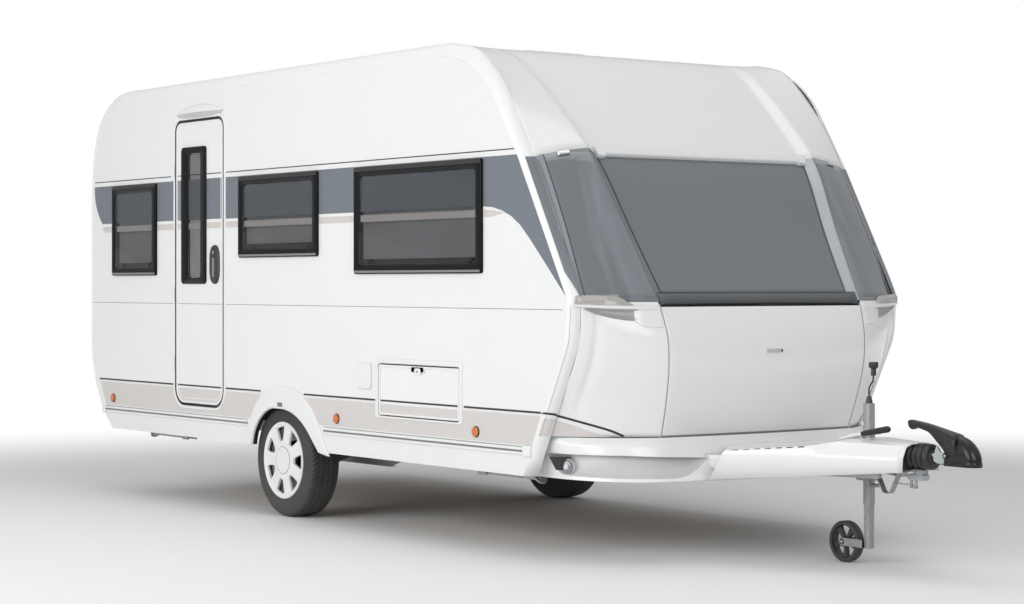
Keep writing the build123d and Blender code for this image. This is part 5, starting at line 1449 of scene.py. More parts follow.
# The eye-shaped hollow: its top edge, its lower lip, and how deep it is.
HOLLOW_TOP = [(-9, 0.518), (0.003, 0.518), (0.390, 0.519), (0.824, 0.500), (9, 0.500)]
HOLLOW_LIP = [(-9, 0.518), (0.003, 0.518), (0.014, 0.498), (0.035, 0.450), (0.0675, 0.418), (0.120, 0.413),
              (0.380, 0.412), (0.613, 0.410), (0.680, 0.422), (0.760, 0.458), (0.824, 0.500), (9, 0.500)]
HOLLOW_DEPTH = 0.042
SHELF_DEPTH = 0.060                                 # of the flat top behind the apron's upper edge
LEDGE_Z = (0.600, 0.600, 0.590, 0.580, 0.574, 0.570, 0.566, 0.562, 0.556, 0.548, 0.536)


def apron_columns():
    """Distances along the apron at which its surface has a column of points."""
    return np.concatenate([[-0.220, -0.110, -0.030, -0.004], np.linspace(0.0, CORNER_LENGTH, 90),
                           np.linspace(CORNER_LENGTH, CORNER_LENGTH + FRONT_LENGTH / 2, 61)[1:]])


def apron_bands():
    """Rows above the hollow, rows in it, and rows from its lip to the apron's foot."""
    s = apron_columns()
    top, lip = (np.interp(s, *np.array(rows).T) for rows in (HOLLOW_TOP, HOLLOW_LIP))
    height = top - lip
    deep = HOLLOW_DEPTH * np.clip(height / 0.060, 0, 1)
    ledge = np.array(LEDGE_Z)[:, None] + 0 * s
    rim = np.array([(0.004, 0.0), (0.0015, 0.02), (0.0003, 0.07), (0.0, 0.12)])
    upper = np.concatenate([ledge, top + rim[:, :1]])
    shelf = np.zeros_like(ledge)
    shelf[0] = SHELF_DEPTH
    upper_depth = np.concatenate([shelf, rim[:, 1:] * deep])
    w = np.linspace(0, 1, 15)[:, None]
    inner = np.concatenate([[top], top - height * w])
    inner_depth = np.concatenate([[0.12 * deep], deep * (1 - w ** 2.2) ** 0.7])
    t = np.concatenate([[0, 0.08, 0.2], np.linspace(0.4, 1, 5)])[:, None]
    lower = lip + (APRON_Z[-1] - lip) * t
    return s, (upper, upper_depth), (inner, inner_depth), (lower, 0 * lower)


def both_halves(grid):
    """A half's grid, from the rear to the middle, carried on to the other side."""
    return flipped(grid_shape(np.concatenate([grid, grid[:, -2::-1] * (1, -1, 1)], axis=1)))


# The raised strip on the apron's side: its heights, and its ends above and below along the apron.
STRIP_Z, STRIP_ENDS = (0.531, 0.401), (0.866, 0.985, 0.725, 0.860)
# The plates that close the gap between apron and drawbar cover: stations in the frame, heights, a point
# (station, y) of the near plate, and its slope.
DRAWBAR_PLATE_X, DRAWBAR_PLATE_Z = (2.056, 2.200), (0.450, 0.517)
DRAWBAR_POINT, DRAWBAR_SLOPE = (2.067, -0.4225), 0.3725


def build_apron():
    """The apron in three bands, the raised strips on its sides and the plates beside the drawbar."""
    s, upper, inner, lower = apron_bands()
    build("apron_ledge", both_halves(apron_points(s, *upper)), GEL_COAT, replaces=["front_apron"],
          thick=0.004)
    # The hollow's grey is painted shade.
    build("apron_hollow", both_halves(apron_points(s, *inner)), HOLLOW_PAINTED_SHADE, thick=0.002)
    build("apron_foot", both_halves(apron_points(s, *lower)), GEL_COAT, thick=0.004)
    t = np.linspace(0, 1, 12)[:, None]
    reach = np.linspace(0, 1, 12)[None, :]
    ends = [np.interp(along, np.sort(s), s) for along in STRIP_ENDS]
    top, foot = STRIP_Z
    z = top + (foot - top) * t + 0 * reach
    upper_row, lower_row = (a + (b - a) * reach for a, b in (ends[:2], ends[2:]))
    place = upper_row * (1 - t) + lower_row * t
    rows = [apron_points(row, level[None], -0.0008)[0] for row, level in zip(place, z)]
    build("apron_side_strips", both(flipped(grid_shape(np.array(rows)))), GEL_COAT)
    x = np.linspace(*DRAWBAR_PLATE_X, 8)[None, :] - AXLE_X
    z = np.linspace(*DRAWBAR_PLATE_Z, 5)[:, None] + 0 * x
    y = DRAWBAR_POINT[1] + DRAWBAR_SLOPE * (x - (DRAWBAR_POINT[0] - AXLE_X)) + 0 * z
    build("drawbar_cheeks", both(grid_shape(np.stack([x + 0 * z, y, z], -1))), GEL_COAT, thick=0.003)


def hollow_patch(corners, steps):
    """Places on a patch between (s, z) corners: lower left, lower right, upper right, upper left."""
    a, b, c, d = np.array(corners, float)
    u, v = np.linspace(0, 1, steps)[:, None, None], np.linspace(0, 1, steps)[None, :, None]
    return (a * (1 - u) + b * u) * (1 - v) + (d * (1 - u) + c * u) * v


FRONT_LAMP, FRONT_LAMP_TURN = (2.590, -0.962, 0.456), 20.0      # place, and degrees round the upright


def front_lamp():
    """Round clear lamp in the hollow: a sleeve, a domed lens and a small raised middle."""
    turn = np.radians(FRONT_LAMP_TURN)
    lens = [(0.0350, 0.0), (0.0350, 0.018), (0.0335, 0.0225), (0.0290, 0.0255), (0.0200, 0.0280),
            (0.0, 0.0295)]
    sleeve = [(0.0400, -0.030), (0.0400, 0.0185), (0.0390, 0.0200), (0.0358, 0.0200), (0.0350, 0.0180),
              (0.0350, 0.0)]
    core = [(0.0130, 0.028), (0.0125, 0.0300), (0.0100, 0.0310), (0.0, 0.0312)]
    parts = []
    for profile in (sleeve, lens, core):
        points, faces = lathe(profile, (0, 0, 0), "y-", 48)
        x, y, z = points.T
        placed = np.column_stack([x * np.cos(turn) - y * np.sin(turn), x * np.sin(turn) + y * np.cos(turn),
                                  z])
        parts.append((placed + FRONT_LAMP, faces))
    return parts


def grille():
    """The mesh beside the lamp: thin bars both ways over a slanted patch, and the sheet behind it."""
    bars = []
    corners = [(0.050, 0.440), (0.084, 0.440), (0.100, 0.506), (0.022, 0.504)]
    patch = hollow_patch(corners, 8)
    for rows in (patch, patch.transpose(1, 0, 2)):
        for line in rows:
            path = apron_points(line[:, 0], line[None, :, 1], 0.020)[0]
            bars.append(bar(path, rounded((-0.0012, 0.0012), (-0.0012, 0.0012), 0.0006, steps=2)))
    s, z = hollow_patch(corners, 6).transpose(2, 0, 1)
    rows = [apron_points(a, b[None], 0.028)[0] for a, b in zip(s, z)]
    return merged(bars), grid_shape(np.array(rows))


build_apron()
lamp_sleeve, lamp_lens, lamp_core = front_lamp()
build("front_lamp_sleeves", both(lamp_sleeve), LIGHT_GREY, replaces=["front_lamps"])
build("front_lamp_lenses", both(lamp_lens), CLEAR_DARK)
build("front_lamp_cores", both(lamp_core), CLEAR)
mesh_bars, mesh_back = grille()
build("apron_mesh", both(mesh_bars), MID_GREY)
build("apron_mesh_back", both(mesh_back), DARK_GREY)


# ------------------------------------------------------------------ drawbar cover
# Half sections from the lower edge to the middle line: (x, y, z) of each corner at each station.
COVER_STATIONS = [[(3.093, 0.496, 0.404), (3.155, 0.468, 0.536), (3.163, 0.460, 0.545),
                   (3.000, 0.300, 0.550), (2.965, 0.0, 0.553)],
                  [(3.230, 0.439, 0.416), (3.245, 0.430, 0.538), (3.250, 0.424, 0.554),
                   (3.250, 0.300, 0.558), (3.250, 0.0, 0.560)],
                  [(3.570, 0.296, 0.444), (3.570, 0.290, 0.546), (3.570, 0.284, 0.582),
                   (3.570, 0.180, 0.586), (3.570, 0.0, 0.588)],
                  [(3.645, 0.264, 0.451), (3.645, 0.258, 0.548), (3.650, 0.196, 0.604),
                   (3.650, 0.120, 0.613), (3.650, 0.0, 0.615)],
                  [(4.000, 0.118, 0.480), (4.000, 0.113, 0.545), (4.000, 0.090, 0.594),
                   (4.000, 0.055, 0.607), (4.000, 0.0, 0.609)]]


def cover_rows():
    """Stations joined by straight runs with short rounded changes, each section softened at its corners."""
    stations = softened(np.array(COVER_STATIONS), 0.030, 7)
    rows = [stations[:1]]
    for start, end in zip(stations[:-1], stations[1:]):
        count = max(2, int(np.abs(end - start).max() / 0.03))
        rows.append(start + (end - start) * np.linspace(0, 1, count + 1)[1:, None, None])
    rows = np.concatenate(rows)
    return softened(rows.transpose(1, 0, 2), 0.009, 5).transpose(1, 0, 2)


def drawbar_cover():
    """The cover's rows, carried over the middle line to the other side."""
    rows = cover_rows() * (1, -1, 1)
    return grid_shape(np.concatenate([rows, rows[:, -2::-1] * (1, -1, 1)], axis=1))


DASHES = 7


def tread_line(t):
    """The near upper edge of the tread at t from 0, its rear end, to 1."""
    return np.array((3.198, -0.4460, 0.5485)) * (1 - t) + np.array((3.560, -0.2885, 0.5815)) * t


def tread_details():
    """Dark bars along the edge of the tread, painted shadow of the gaps beside the ribs, and the low ribs
    between them that run across it.
    """
    slot_shadows, ribs = [], []
    for i in range(DASHES):
        start, end = tread_line((i + 0.05) / DASHES), tread_line((i + 0.62) / DASHES)
        slot_shadows.append(bar([start, (start + end) / 2, end],
                         rounded((-0.0035, 0.0035), (-0.0040, 0.0038), 0.0015, steps=3)))
        foot = tread_line((i + 0.80) / DASHES) + (0, 0.004, 0.0005)
        reach = np.array((0.0, 0.16, 0.004))
        section = rounded((-0.009, 0.009), (-0.004, 0.0045), 0.004, steps=4)
        ribs.append(bar([foot, foot + reach * 0.5, foot + reach], section, scale=[0.6, 1.0, 0.3]))
    return merged(slot_shadows), merged(ribs)


def boot(x, y, z, half, height):
    """A soft collar on the cover round what comes up through it."""
    rows = [(half + 0.014, 0.0), (half + 0.013, 0.003), (half + 0.007, 0.006), (half + 0.003, height),
            (half, height), (half - 0.002, height - 0.004)]
    corners = [raised(rounded((-r, r), (-r, r), 0.008), h) for r, h in rows]
    points, faces = loft(np.array(corners))
    return points + (x, y, z), faces


# Outline of the dark plate that is painted shade inside the cover.
THROAT_SHADE_OUTLINE = [(-0.108, 0.486), (0.108, 0.486), (0.107, 0.545), (0.086, 0.588), (0.050, 0.601), (-0.050, 0.601),
          (-0.086, 0.588), (-0.107, 0.545)]


def cover_throat_shade():
    """A dark plate just inside the cover's front end: painted shade of the cover's inside."""
    corners = np.array(THROAT_SHADE_OUTLINE)
    return loft(np.array([np.insert(corners, 0, x, axis=1) for x in (3.955, 3.960)]))


JOCKEY = (3.584, 0.085)
LEVER_SIDE = -0.065
build("drawbar_cover_moulding", drawbar_cover(), GEL_COAT, replaces=["drawbar_cover"], thick=0.005)
tread_slot_shadows, tread_ribs = tread_details()
# Painted shadow: dark bars along the tread's edge.
build("tread_slot_shadows", both(tread_slot_shadows), SOFT_BLACK)
build("tread_ribs", both(tread_ribs), GEL_COAT)
# A black plate as painted shade inside the cover's mouth.
build("cover_throat_shade", cover_throat_shade(), SOFT_BLACK)
build("column_boot", boot(*JOCKEY, 0.598, 0.022, 0.016), SOFT_BLACK)


# ------------------------------------------------------------------ wings over the front corners
WALL_FRONT, BODY_FRONT = (trace(rows, RUN_STEPS)[52:][::-1].T for rows in (WALL_EDGE, BODY_EDGE))


def rail_point(turn, z, lift=0.0):
    """A point of the front corner rail: turn runs from 0 on the side wall to a quarter at the front."""
    wall_x, body_x = (np.interp(z, edge[1], edge[0]) for edge in (WALL_FRONT, BODY_FRONT))
    x = wall_x + (body_x - wall_x) * np.sin(turn) + lift * np.sin(turn)
    return np.stack([x, -(RAIL_Y + 0.0530 * np.cos(turn) + lift * np.cos(turn)), z + 0 * turn], -1)


def corner_point(y, z, lift=0.0):
    """A point of the lower front at a distance y from the middle: on the cheek, or round the rail."""
    stations = smooth_path([row[:4] for row in CHEEK_STATIONS], 8)[::-1]
    x, edge, fall = (np.interp(z, stations[:, 1], stations[:, i]) for i in (0, 2, 3))
    t = (np.minimum(y, RAIL_Y) - edge - 0.006) / (RAIL_Y - edge - 0.006)
    on_cheek = x - fall * (0.6 * t + 0.4 * t * t) - crease_depth(y, z)
    turn = np.arccos(np.clip((y - RAIL_Y) / 0.0530, 0, 1))
    on_rail = rail_point(turn, z)[..., 0]
    slope = fall * (0.6 + 0.8 * t) / (RAIL_Y - edge)
    out = np.stack([1 + 0 * slope, slope, 0 * slope], -1)
    out = np.where((y > RAIL_Y)[..., None], np.stack([np.sin(turn), np.cos(turn), 0 * turn], -1), out)
    out /= np.linalg.norm(out, axis=-1, keepdims=True)
    base = np.stack([np.where(y > RAIL_Y, on_rail, on_cheek), y, z + 0 * y], -1)
    return (base + out * np.asarray(lift)[..., None]) * (1, -1, 1)


def wing_body(sections, closed=True):
    """A form over the corner: rows of y, then (z, lift) corners, joined by a smooth path."""
    rows = smooth_path([[row[0]] + [value for pair in row[1:] for value in pair] for row in sections], 6)
    y = rows[:, :1]
    z, lift = rows[:, 1::2], rows[:, 2::2]
    grid = corner_point(np.broadcast_to(y, z.shape), z, lift)
    if not closed:
        return grid_shape(grid)
    return loft(grid)


# y, then the blade's section: inner foot, outer foot, outer top, inner top.
BLADE = [(1.0980, (1.2420, -0.001), (1.2425, 0.004), (1.2470, 0.004), (1.2480, -0.001)),
         (1.0850, (1.2390, -0.002), (1.2400, 0.010), (1.2480, 0.010), (1.2510, -0.002)),
         (1.0400, (1.2340, -0.002), (1.2350, 0.019), (1.2470, 0.020), (1.2530, -0.002)),
         (0.9600, (1.2300, -0.002), (1.2300, 0.026), (1.2440, 0.028), (1.2530, -0.002)),
         (0.8600, (1.2260, -0.002), (1.2270, 0.027), (1.2420, 0.029), (1.2520, -0.002)),
         (0.7600, (1.2200, -0.002), (1.2230, 0.020), (1.2400, 0.022), (1.2500, -0.002)),
         (0.6820, (1.2160, -0.002), (1.2200, 0.010), (1.2380, 0.011), (1.2480, -0.002))]
# The scoop under the blade, grey as painted shade: its upper edge at the blade, its hollow, its lower lip.
SCOOP = [(1.0350, (1.2340, 0.018), (1.2330, 0.014), (1.2310, 0.012), (1.2280, 0.014), (1.2250, 0.010)),
         (0.9900, (1.2320, 0.022), (1.2240, 0.008), (1.2160, 0.006), (1.2090, 0.012), (1.2050, 0.003)),
         (0.9200, (1.2290, 0.025), (1.2160, 0.004), (1.2010, 0.003), (1.1900, 0.012), (1.1840, 0.002)),
         (0.8400, (1.2260, 0.024), (1.2100, 0.003), (1.1920, 0.002), (1.1780, 0.011), (1.1710, 0.002)),
         (0.7950, (1.2240, 0.021), (1.2140, 0.008), (1.1980, 0.005), (1.1800, 0.010), (1.1730, 0.003))]
# The flat plate between the scoop and the lid.
PLATE = [(0.8150, (1.2240, 0.001), (1.2240, 0.013), (1.1720, 0.009), (1.1690, 0.001)),
         (0.7700, (1.2240, 0.001), (1.2240, 0.015), (1.1430, 0.007), (1.1400, 0.001)),
         (0.6830, (1.2220, 0.001), (1.2220, 0.010), (1.1400, 0.005), (1.1370, 0.001))]
# The lens on top: outer foot, outer shoulder, crown, inner foot.
WING_LENS = [(1.0820, (1.2490, 0.004), (1.2600, 0.005), (1.2700, 0.001), (1.2700, -0.010),
              (1.2490, -0.012)),
             (1.0750, (1.2490, 0.010), (1.2750, 0.011), (1.2900, 0.003), (1.2900, -0.010),
              (1.2490, -0.012)),
             (1.0400, (1.2480, 0.016), (1.2760, 0.016), (1.2920, 0.005), (1.2920, -0.012),
              (1.2490, -0.014)),
             (0.9500, (1.2470, 0.022), (1.2720, 0.021), (1.2880, 0.008), (1.2890, -0.012),
              (1.2490, -0.014)),
             (0.8800, (1.2460, 0.023), (1.2660, 0.021), (1.2820, 0.008), (1.2830, -0.012),
              (1.2490, -0.014)),
             (0.8350, (1.2450, 0.022), (1.2520, 0.019), (1.2590, 0.008), (1.2600, -0.012),
              (1.2480, -0.014)),
             (0.8150, (1.2440, 0.020), (1.2460, 0.016), (1.2480, 0.008), (1.2490, -0.010),
              (1.2470, -0.014))]


def line_on_corner(path, half_width):
    """A fine line over the cheek and the rail along (y, z) points."""
    path = smooth_path(path, 6)
    along = np.gradient(path, axis=0)
    along /= np.linalg.norm(along, axis=1, keepdims=True)
    across = np.stack([-along[:, 1], along[:, 0]], -1)
    edges = path[:, None] + across[:, None] * np.array((-1.0, 0.0, 1.0))[None, :, None] * half_width
    return grid_shape(corner_point(edges[..., 0], edges[..., 1], np.full(edges.shape[:2], 0.0010)))


def rail_film(turns, z, lift=0.0018, steps=10):
    """A film on the corner rail: (first turn, last turn) in degrees at each height of z."""
    z = np.array(z, float)
    share = np.linspace(0, 1, steps)[None, :]
    turns = np.radians(np.array(turns, float))
    turn = turns[:, :1] * (1 - share) + turns[:, 1:] * share
    level = np.broadcast_to(z[:, None], turn.shape)
    return flipped(grid_shape(rail_point(turn, level, lift)))


def build_corners():
    """Wings, slate film, seam and pin lines over both front corners."""
    build("wing_blades", both(wing_body(BLADE)), WHITE_PLASTIC, replaces=["front_wings"])
    # The scoops' grey is painted shade.
    build("wing_scoops", both(wing_body(SCOOP, False)), SCOOP_PAINTED_SHADE, thick=0.001)
    build("wing_plates", both(wing_body(PLATE)), GEL_COAT)
    build("wing_lenses", both(wing_body(WING_LENS)), PEARL)
    heights = np.linspace(1.972, 1.405, 24)
    feet = np.linspace(1.405, 1.262, 8)[1:]
    turns = [(42.0, 92.0)] * len(heights) + [(42.0 + 46.0 * (1.405 - z) / 0.143, 92.0) for z in feet]
    # The slate film on the rails carries painted reflections as pale streaks.
    build("rail_slate_films", both(rail_film(turns, np.concatenate([heights, feet]))), SLATE_SHEEN)
    seam = np.linspace(1.232, 0.606, 40)
    build("rail_seams", both(rail_film([(33.0, 35.0)] * len(seam), seam, 0.0010, 3)), GREY_LINE)
    pin = [(1.1030, 0.7205), (1.0950, 0.7190), (1.0750, 0.7160), (1.0510, 0.7100), (1.0120, 0.6965),
           (0.9350, 0.6690), (0.8440, 0.6360), (0.7870, 0.6080)]
    build("corner_pin_lines", both(line_on_corner(pin, 0.0050)), INK)
    fill = [(1.0990, 0.6960, 0.6060), (1.0750, 0.6930, 0.6060), (1.0500, 0.6870, 0.6060),
            (1.0100, 0.6730, 0.6055), (0.9740, 0.6580, 0.6050), (0.9200, 0.6340, 0.6045),
            (0.8790, 0.6190, 0.6040), (0.8420, 0.6045, 0.6035)]
    rows = smooth_path(fill, 5)
    share = np.linspace(0, 1, 4)[None, :]
    z = rows[:, 1:2] * (1 - share) + rows[:, 2:3] * share
    y = np.broadcast_to(rows[:, :1], z.shape)
    build("corner_greige_films", both(flipped(grid_shape(corner_point(y, z, np.full(z.shape, 0.0008))))),
          GREIGE_SKIN)


def on_lid(shape):
    """A shape in (y, z, height) set on the lid."""
    y, z, height = shape[0].T
    x, edge, bulge = (value[:, 0] for value in lid_rows(z))
    return np.column_stack([x + bulge * (1 - (y / edge) ** 2) + height, y, z]), shape[1]


def build_lid_lock():
    """The slim lock: a pale recess with a rim, a grey plate and a round key barrel."""
    rim = ring((-0.066, 0.078), (1.002, 1.029), 0.006, 0.004, 0.0028, 0.0012, -0.001)
    tray = plate((-0.062, 0.074), (1.006, 1.025), 0.004, 0.0008, 0.0004, -0.001)
    bar_plate = plate((-0.058, 0.048), (1.0075, 1.0235), 0.003, 0.0045, 0.0015)
    key = lathe([(0.0065, 0.0), (0.0065, 0.0052), (0.0050, 0.0056), (0.0, 0.0056)], (0, 0, 0), "z", 24)
    key = (key[0] + (0.040, 1.0155, 0), key[1])
    build("lid_lock_rim", on_lid(merged([rim, tray])), GEL_COAT, "locker_lid")
    build("lid_lock_plate", on_lid(bar_plate), LIGHT_GREY, "locker_lid")
    build("lid_lock_key", on_lid(key), BLACK_PLASTIC, "locker_lid")


HOOD_LAMP_Y = (0.874, 0.942)


def hood_lamp():
    """A small clear lamp tucked under the hood's edge, on the slate."""
    p = np.linspace(HOOD_STATION + 0.004, HOOD_STATION + 0.074, 8)
    dense = smooth_path(FRONT_STATIONS, 60)
    at = np.linspace(0, len(FRONT_STATIONS) - 1, len(dense))
    rows = np.array([np.interp(p, at, column) for column in dense.T]).T
    inner, outer = HOOD_LAMP_Y
    y = np.linspace(inner, outer, 12)[None, :] + 0 * p[:, None]
    rim = np.minimum(np.minimum(y - inner, outer - y), np.minimum(p - p[0], p[-1] - p)[:, None] * 0.36)
    lift = 0.001 + 0.010 * np.clip(rim / 0.004, 0, 1) ** 0.5
    return grid_shape(front_points(rows, -y, lift))


build_corners()
build_lid_lock()
build("hood_lamp_lenses", both(hood_lamp()), CHROME_LENS, thick=0.001)


# ------------------------------------------------------------------ roof
ROOF_LIGHTS = ((0.900, 0.0, 0.700, 0.500), (-0.700, 0.250, 0.400, 0.400), (-1.700, 0.0, 0.400, 0.400))


def on_roof(shape):
    """A shape in (x, y, height) set on the roof."""
    return shape[0] + (0, 0, ROOF_Z), shape[1]


def build_roof_lights():
    """Each: a flat frame with rounded edges and a smoked dome on it."""
    frames, domes = [], []
    for x, y, length, width in ROOF_LIGHTS:
        u, v = (x - length / 2, x + length / 2), (y - width / 2, y + width / 2)
        frames.append(on_roof(plate(u, v, 0.045, 0.030, 0.010, -0.002)))
        t = np.linspace(0, 1, 9)
        rows = [raised(rounded(u, v, 0.045, 0.022 + 0.055 * a ** 2.0), 0.026 + 0.032 * np.sin(a * pi / 2))
                for a in t]
        domes.append(on_roof(loft(np.array(rows))))
    build("roof_light_frames", merged(frames), WHITE_PLASTIC, replaces=["roof_lights"])
    build("roof_light_domes", merged(domes), DOME)


build_roof_lights()


# ------------------------------------------------------------------ coupling
SHAFT_Z = 0.5520
FOLD_PITCH, FOLD_START, FOLD_END = 0.0335, 3.9490, 4.0660
FOLD_CREST, FOLD_ROOT = 0.0605, 0.0455


def bellows_folds():
    """Radius along the shaft: round folds with narrow valleys, then a shoulder that closes on a neck."""
    x = np.linspace(FOLD_START, FOLD_END, 50)
    wave = (0.5 + 0.5 * np.cos(2 * pi * (x - FOLD_END) / FOLD_PITCH)) ** 0.55
    rows = np.column_stack([FOLD_ROOT + (FOLD_CREST - FOLD_ROOT) * wave, x])
    shoulder = [(0.0598, 4.0720), (0.0575, 4.0790), (0.0520, 4.0845), (0.0450, 4.0870), (0.0400, 4.0872),
                (0.0385, 4.0890), (0.0385, 4.0980), (0.0350, 4.1010), (0.0290, 4.1015)]
    return lathe(np.concatenate([[(0.030, FOLD_START)], rows, shoulder]), (0, 0, SHAFT_Z), "x", 72)


# Levels of the head from its lower rim up: z, half width, where the nose begins to close, nose.
HEAD_LEVELS = [(0.5205, 0.0425, 4.3200, 4.3625), (0.5225, 0.0445, 4.3200, 4.3645),
               (0.5370, 0.0450, 4.3200, 4.3645), (0.5400, 0.0432, 4.3200, 4.3625),
               (0.5600, 0.0430, 4.3180, 4.3600), (0.5800, 0.0422, 4.3120, 4.3535),
               (0.6000, 0.0395, 4.3020, 4.3430), (0.6180, 0.0350, 4.2900, 4.3290),
               (0.6330, 0.0290, 4.2780, 4.3130), (0.6450, 0.0215, 4.2650, 4.2950),
               (0.6530, 0.0135, 4.2550, 4.2760), (0.6570, 0.0060, 4.2480, 4.2600),
               (0.6580, 0.0010, 4.2460, 4.2500)]
HEAD_REAR = 4.1860


def coupling_head():
    """Plan outlines with a round nose, drawn in level by level to a domed top."""
    z, half, start, nose = smooth_path(HEAD_LEVELS, 4).T[:, :, None]
    turn = np.linspace(-pi / 2, pi / 2, 33)[None, :]
    x, y = start + (nose - start) * np.cos(turn), half * np.sin(turn)
    rear = np.full_like(half, HEAD_REAR)
    x, y = np.concatenate([rear, x, rear], 1), np.concatenate([-half, y, half], 1)
    return loft(np.stack([x, y, z + 0 * x], -1))


# The handle's sections from its free end: top (x, z), bottom (x, z), half width.
HANDLE_SECTIONS = [(3.9300, 0.7070, 3.9330, 0.6940, 0.0080), (3.9325, 0.7135, 3.9385, 0.6835, 0.0145),
                   (3.9420, 0.7175, 3.9520, 0.6745, 0.0185), (3.9560, 0.7175, 3.9640, 0.6745, 0.0200),
                   (3.9716, 0.7150, 3.9760, 0.6810, 0.0205), (4.0000, 0.7115, 3.9980, 0.6815, 0.0208),
                   (4.0400, 0.7060, 4.0300, 0.6750, 0.0212), (4.0793, 0.6993, 4.0646, 0.6641, 0.0222),
                   (4.1250, 0.6900, 4.0970, 0.6400, 0.0250), (4.1650, 0.6810, 4.1250, 0.6190, 0.0300),
                   (4.2000, 0.6730, 4.1600, 0.5910, 0.0360), (4.2250, 0.6670, 4.1880, 0.5640, 0.0430),
                   (4.2360, 0.6630, 4.2080, 0.5480, 0.0465), (4.2440, 0.6560, 4.2370, 0.5480, 0.0475),
                   (4.2500, 0.6450, 4.2560, 0.5580, 0.0470), (4.2480, 0.6300, 4.2620, 0.5800, 0.0400)]


def coupling_handle():
    """Rounded sections that widen from the grip to the cheeks of the head."""
    rows = []
    for x_top, z_top, x_low, z_low, half in smooth_path(HANDLE_SECTIONS, 5):
        length = np.hypot(x_top - x_low, z_top - z_low)
        radius = min(half, length / 2) * 0.62
        y, t = (rounded((-half, half), (-length / 2, length / 2), radius, steps=7) * (1, 2 / length)).T
        middle = np.array(((x_top + x_low) / 2, (z_top + z_low) / 2))
        reach = np.array((x_top - x_low, z_top - z_low)) / 2
        rows.append(np.column_stack([middle[0] + reach[0] * t, y, middle[1] + reach[1] * t]))
    return loft(np.array(rows))


def side_slab(outline, y_near, y_far, soften=0.003):
    """An (x, z) outline, anticlockwise seen from the near side, between two distances y."""
    points = np.array(outline, float)
    points = softened(np.column_stack([np.concatenate([points, points[:2]]), np.zeros(len(points) + 2)]),
                      soften, 4)
    points = points[1:-2, :2]
    rows = [np.column_stack([points[:, 0], np.full(len(points), y), points[:, 1]]) for y in (y_far, y_near)]
    return loft(np.array(rows))


STAR = [(4.1388, 0.6123), (4.1260, 0.5760), (4.1090, 0.5690), (4.1190, 0.5560), (4.1190, 0.5420),
        (4.1330, 0.5330), (4.1500, 0.5290), (4.1850, 0.5300), (4.1900, 0.5500), (4.1860, 0.5790),
        (4.1610, 0.5800)]


PIVOT = (4.197, 0, 0.5665)


def coupling_details():
    """The pale casting beside the neck, the pivot's hub and bolt, and the round neck itself."""
    casting = side_slab(STAR, -0.0420, -0.0350, 0.004)
    hub = lathe([(0.0140, 0.030), (0.0140, 0.0500), (0.0125, 0.0515), (0.0045, 0.0515)], PIVOT, "y-", 32)
    bolt = lathe([(0.0045, 0.0505), (0.0045, 0.0535), (0.0030, 0.0543), (0.0, 0.0543)], PIVOT, "y-", 16)
    neck = bar([(4.085, 0, 0.547), (4.200, 0, 0.547)], circle(0.026, 40))
    return casting, hub, bolt, neck


def guide_parts():
    """Under the bellows: the bevelled bracket, the clamp block on it, and the thin rod to the strip."""
    bracket = side_slab([(3.9250, 0.4655), (3.9500, 0.4400), (4.0300, 0.4400), (4.0360, 0.4655)], -0.0250,
                        0.0250)
    clamp = side_slab([(3.9750, 0.4900), (3.9750, 0.4660), (4.0280, 0.4660), (4.0280, 0.4900)], -0.0220,
                      0.0220)
    nuts = [bar([(x, -0.0215, 0.478), (x, -0.0275, 0.478)], circle(0.0065, 6), up=(1, 0, 0))
            for x in (3.988, 4.014)]
    rod = bar([(3.822, 0, 0.4160), (3.960, 0, 0.4160)], circle(0.0028, 12))
    return merged([bracket, clamp] + nuts), rod


casting, pivot_hub, pivot_bolt, neck = coupling_details()
build("bellows_folds", bellows_folds(), BELLOWS, replaces=["bellows"])
build("coupling_head_cover", coupling_head(), HEAD_GLOSS, replaces=["coupling_head"])
build("coupling_grip", coupling_handle(), GRIP_BLACK, replaces=["coupling_handle"])
build("coupling_castings", both(casting), CASTING)
build("coupling_pivots", merged([both(pivot_hub), neck]), BLACK_PLASTIC)
build("coupling_bolts", both(pivot_bolt), CHROME)


def under_gear():
    """The casting's plain body, the strip bent to a soft V under it and the slotted tab."""
    body = loft(np.array([np.insert(rounded((-0.050, 0.050), (0.474, 0.585), 0.016), 0, x, axis=1)
                          for x in (3.450, 3.930)]))
    track = softened([(3.728, 0, 0.480), (3.728, 0, 0.447), (3.774, 0, 0.3665), (3.814, 0, 0.3665),
                      (3.860, 0, 0.447), (3.860, 0, 0.480)], 0.014, 6)
    strip_bar = bar(track, rounded((-0.0025, 0.0025), (-0.0160, 0.0160), 0.0012, steps=3),
                    up=(0, 1, 0.0001))
    section = rounded((-0.0045, 0.0045), (-0.0060, 0.0060), 0.002, steps=3)
    legs = [bar([(x, 0, 0.460), (x, 0, 0.4045)], section, up=(1, 0, 0)) for x in (3.9440, 3.9730)]
    foot = bar([(3.938, 0, 0.4050), (3.979, 0, 0.4050)],
               rounded((-0.0060, 0.0060), (-0.0050, 0.0050), 0.002, steps=3))
    return merged([body, strip_bar] + legs + [foot])


build("coupling_under_gear", under_gear(), ZINC_LIGHT, replaces=["overrun_housing"])
guide_bracket, guide_rod = guide_parts()
build("cable_bracket", guide_bracket, CASTING)
build("cable_rod", guide_rod, ZINC)


# ------------------------------------------------------------------ handbrake and jockey wheel
LEVER_PATH = [(3.515, 0.596), (3.545, 0.604), (3.600, 0.614), (3.700, 0.636)]
GRIP_PATH = [(3.6860, 0.6405), (3.6870, 0.6407), (3.6910, 0.6415), (3.7050, 0.6440), (3.7400, 0.6500),
             (3.7800, 0.6570), (3.8470, 0.6690), (3.8600, 0.6710), (3.8665, 0.6718), (3.8690, 0.6720)]
GRIP_SIZE = [0.30, 0.60, 0.76, 0.84, 0.94, 1.0, 1.02, 0.90, 0.60, 0.20]
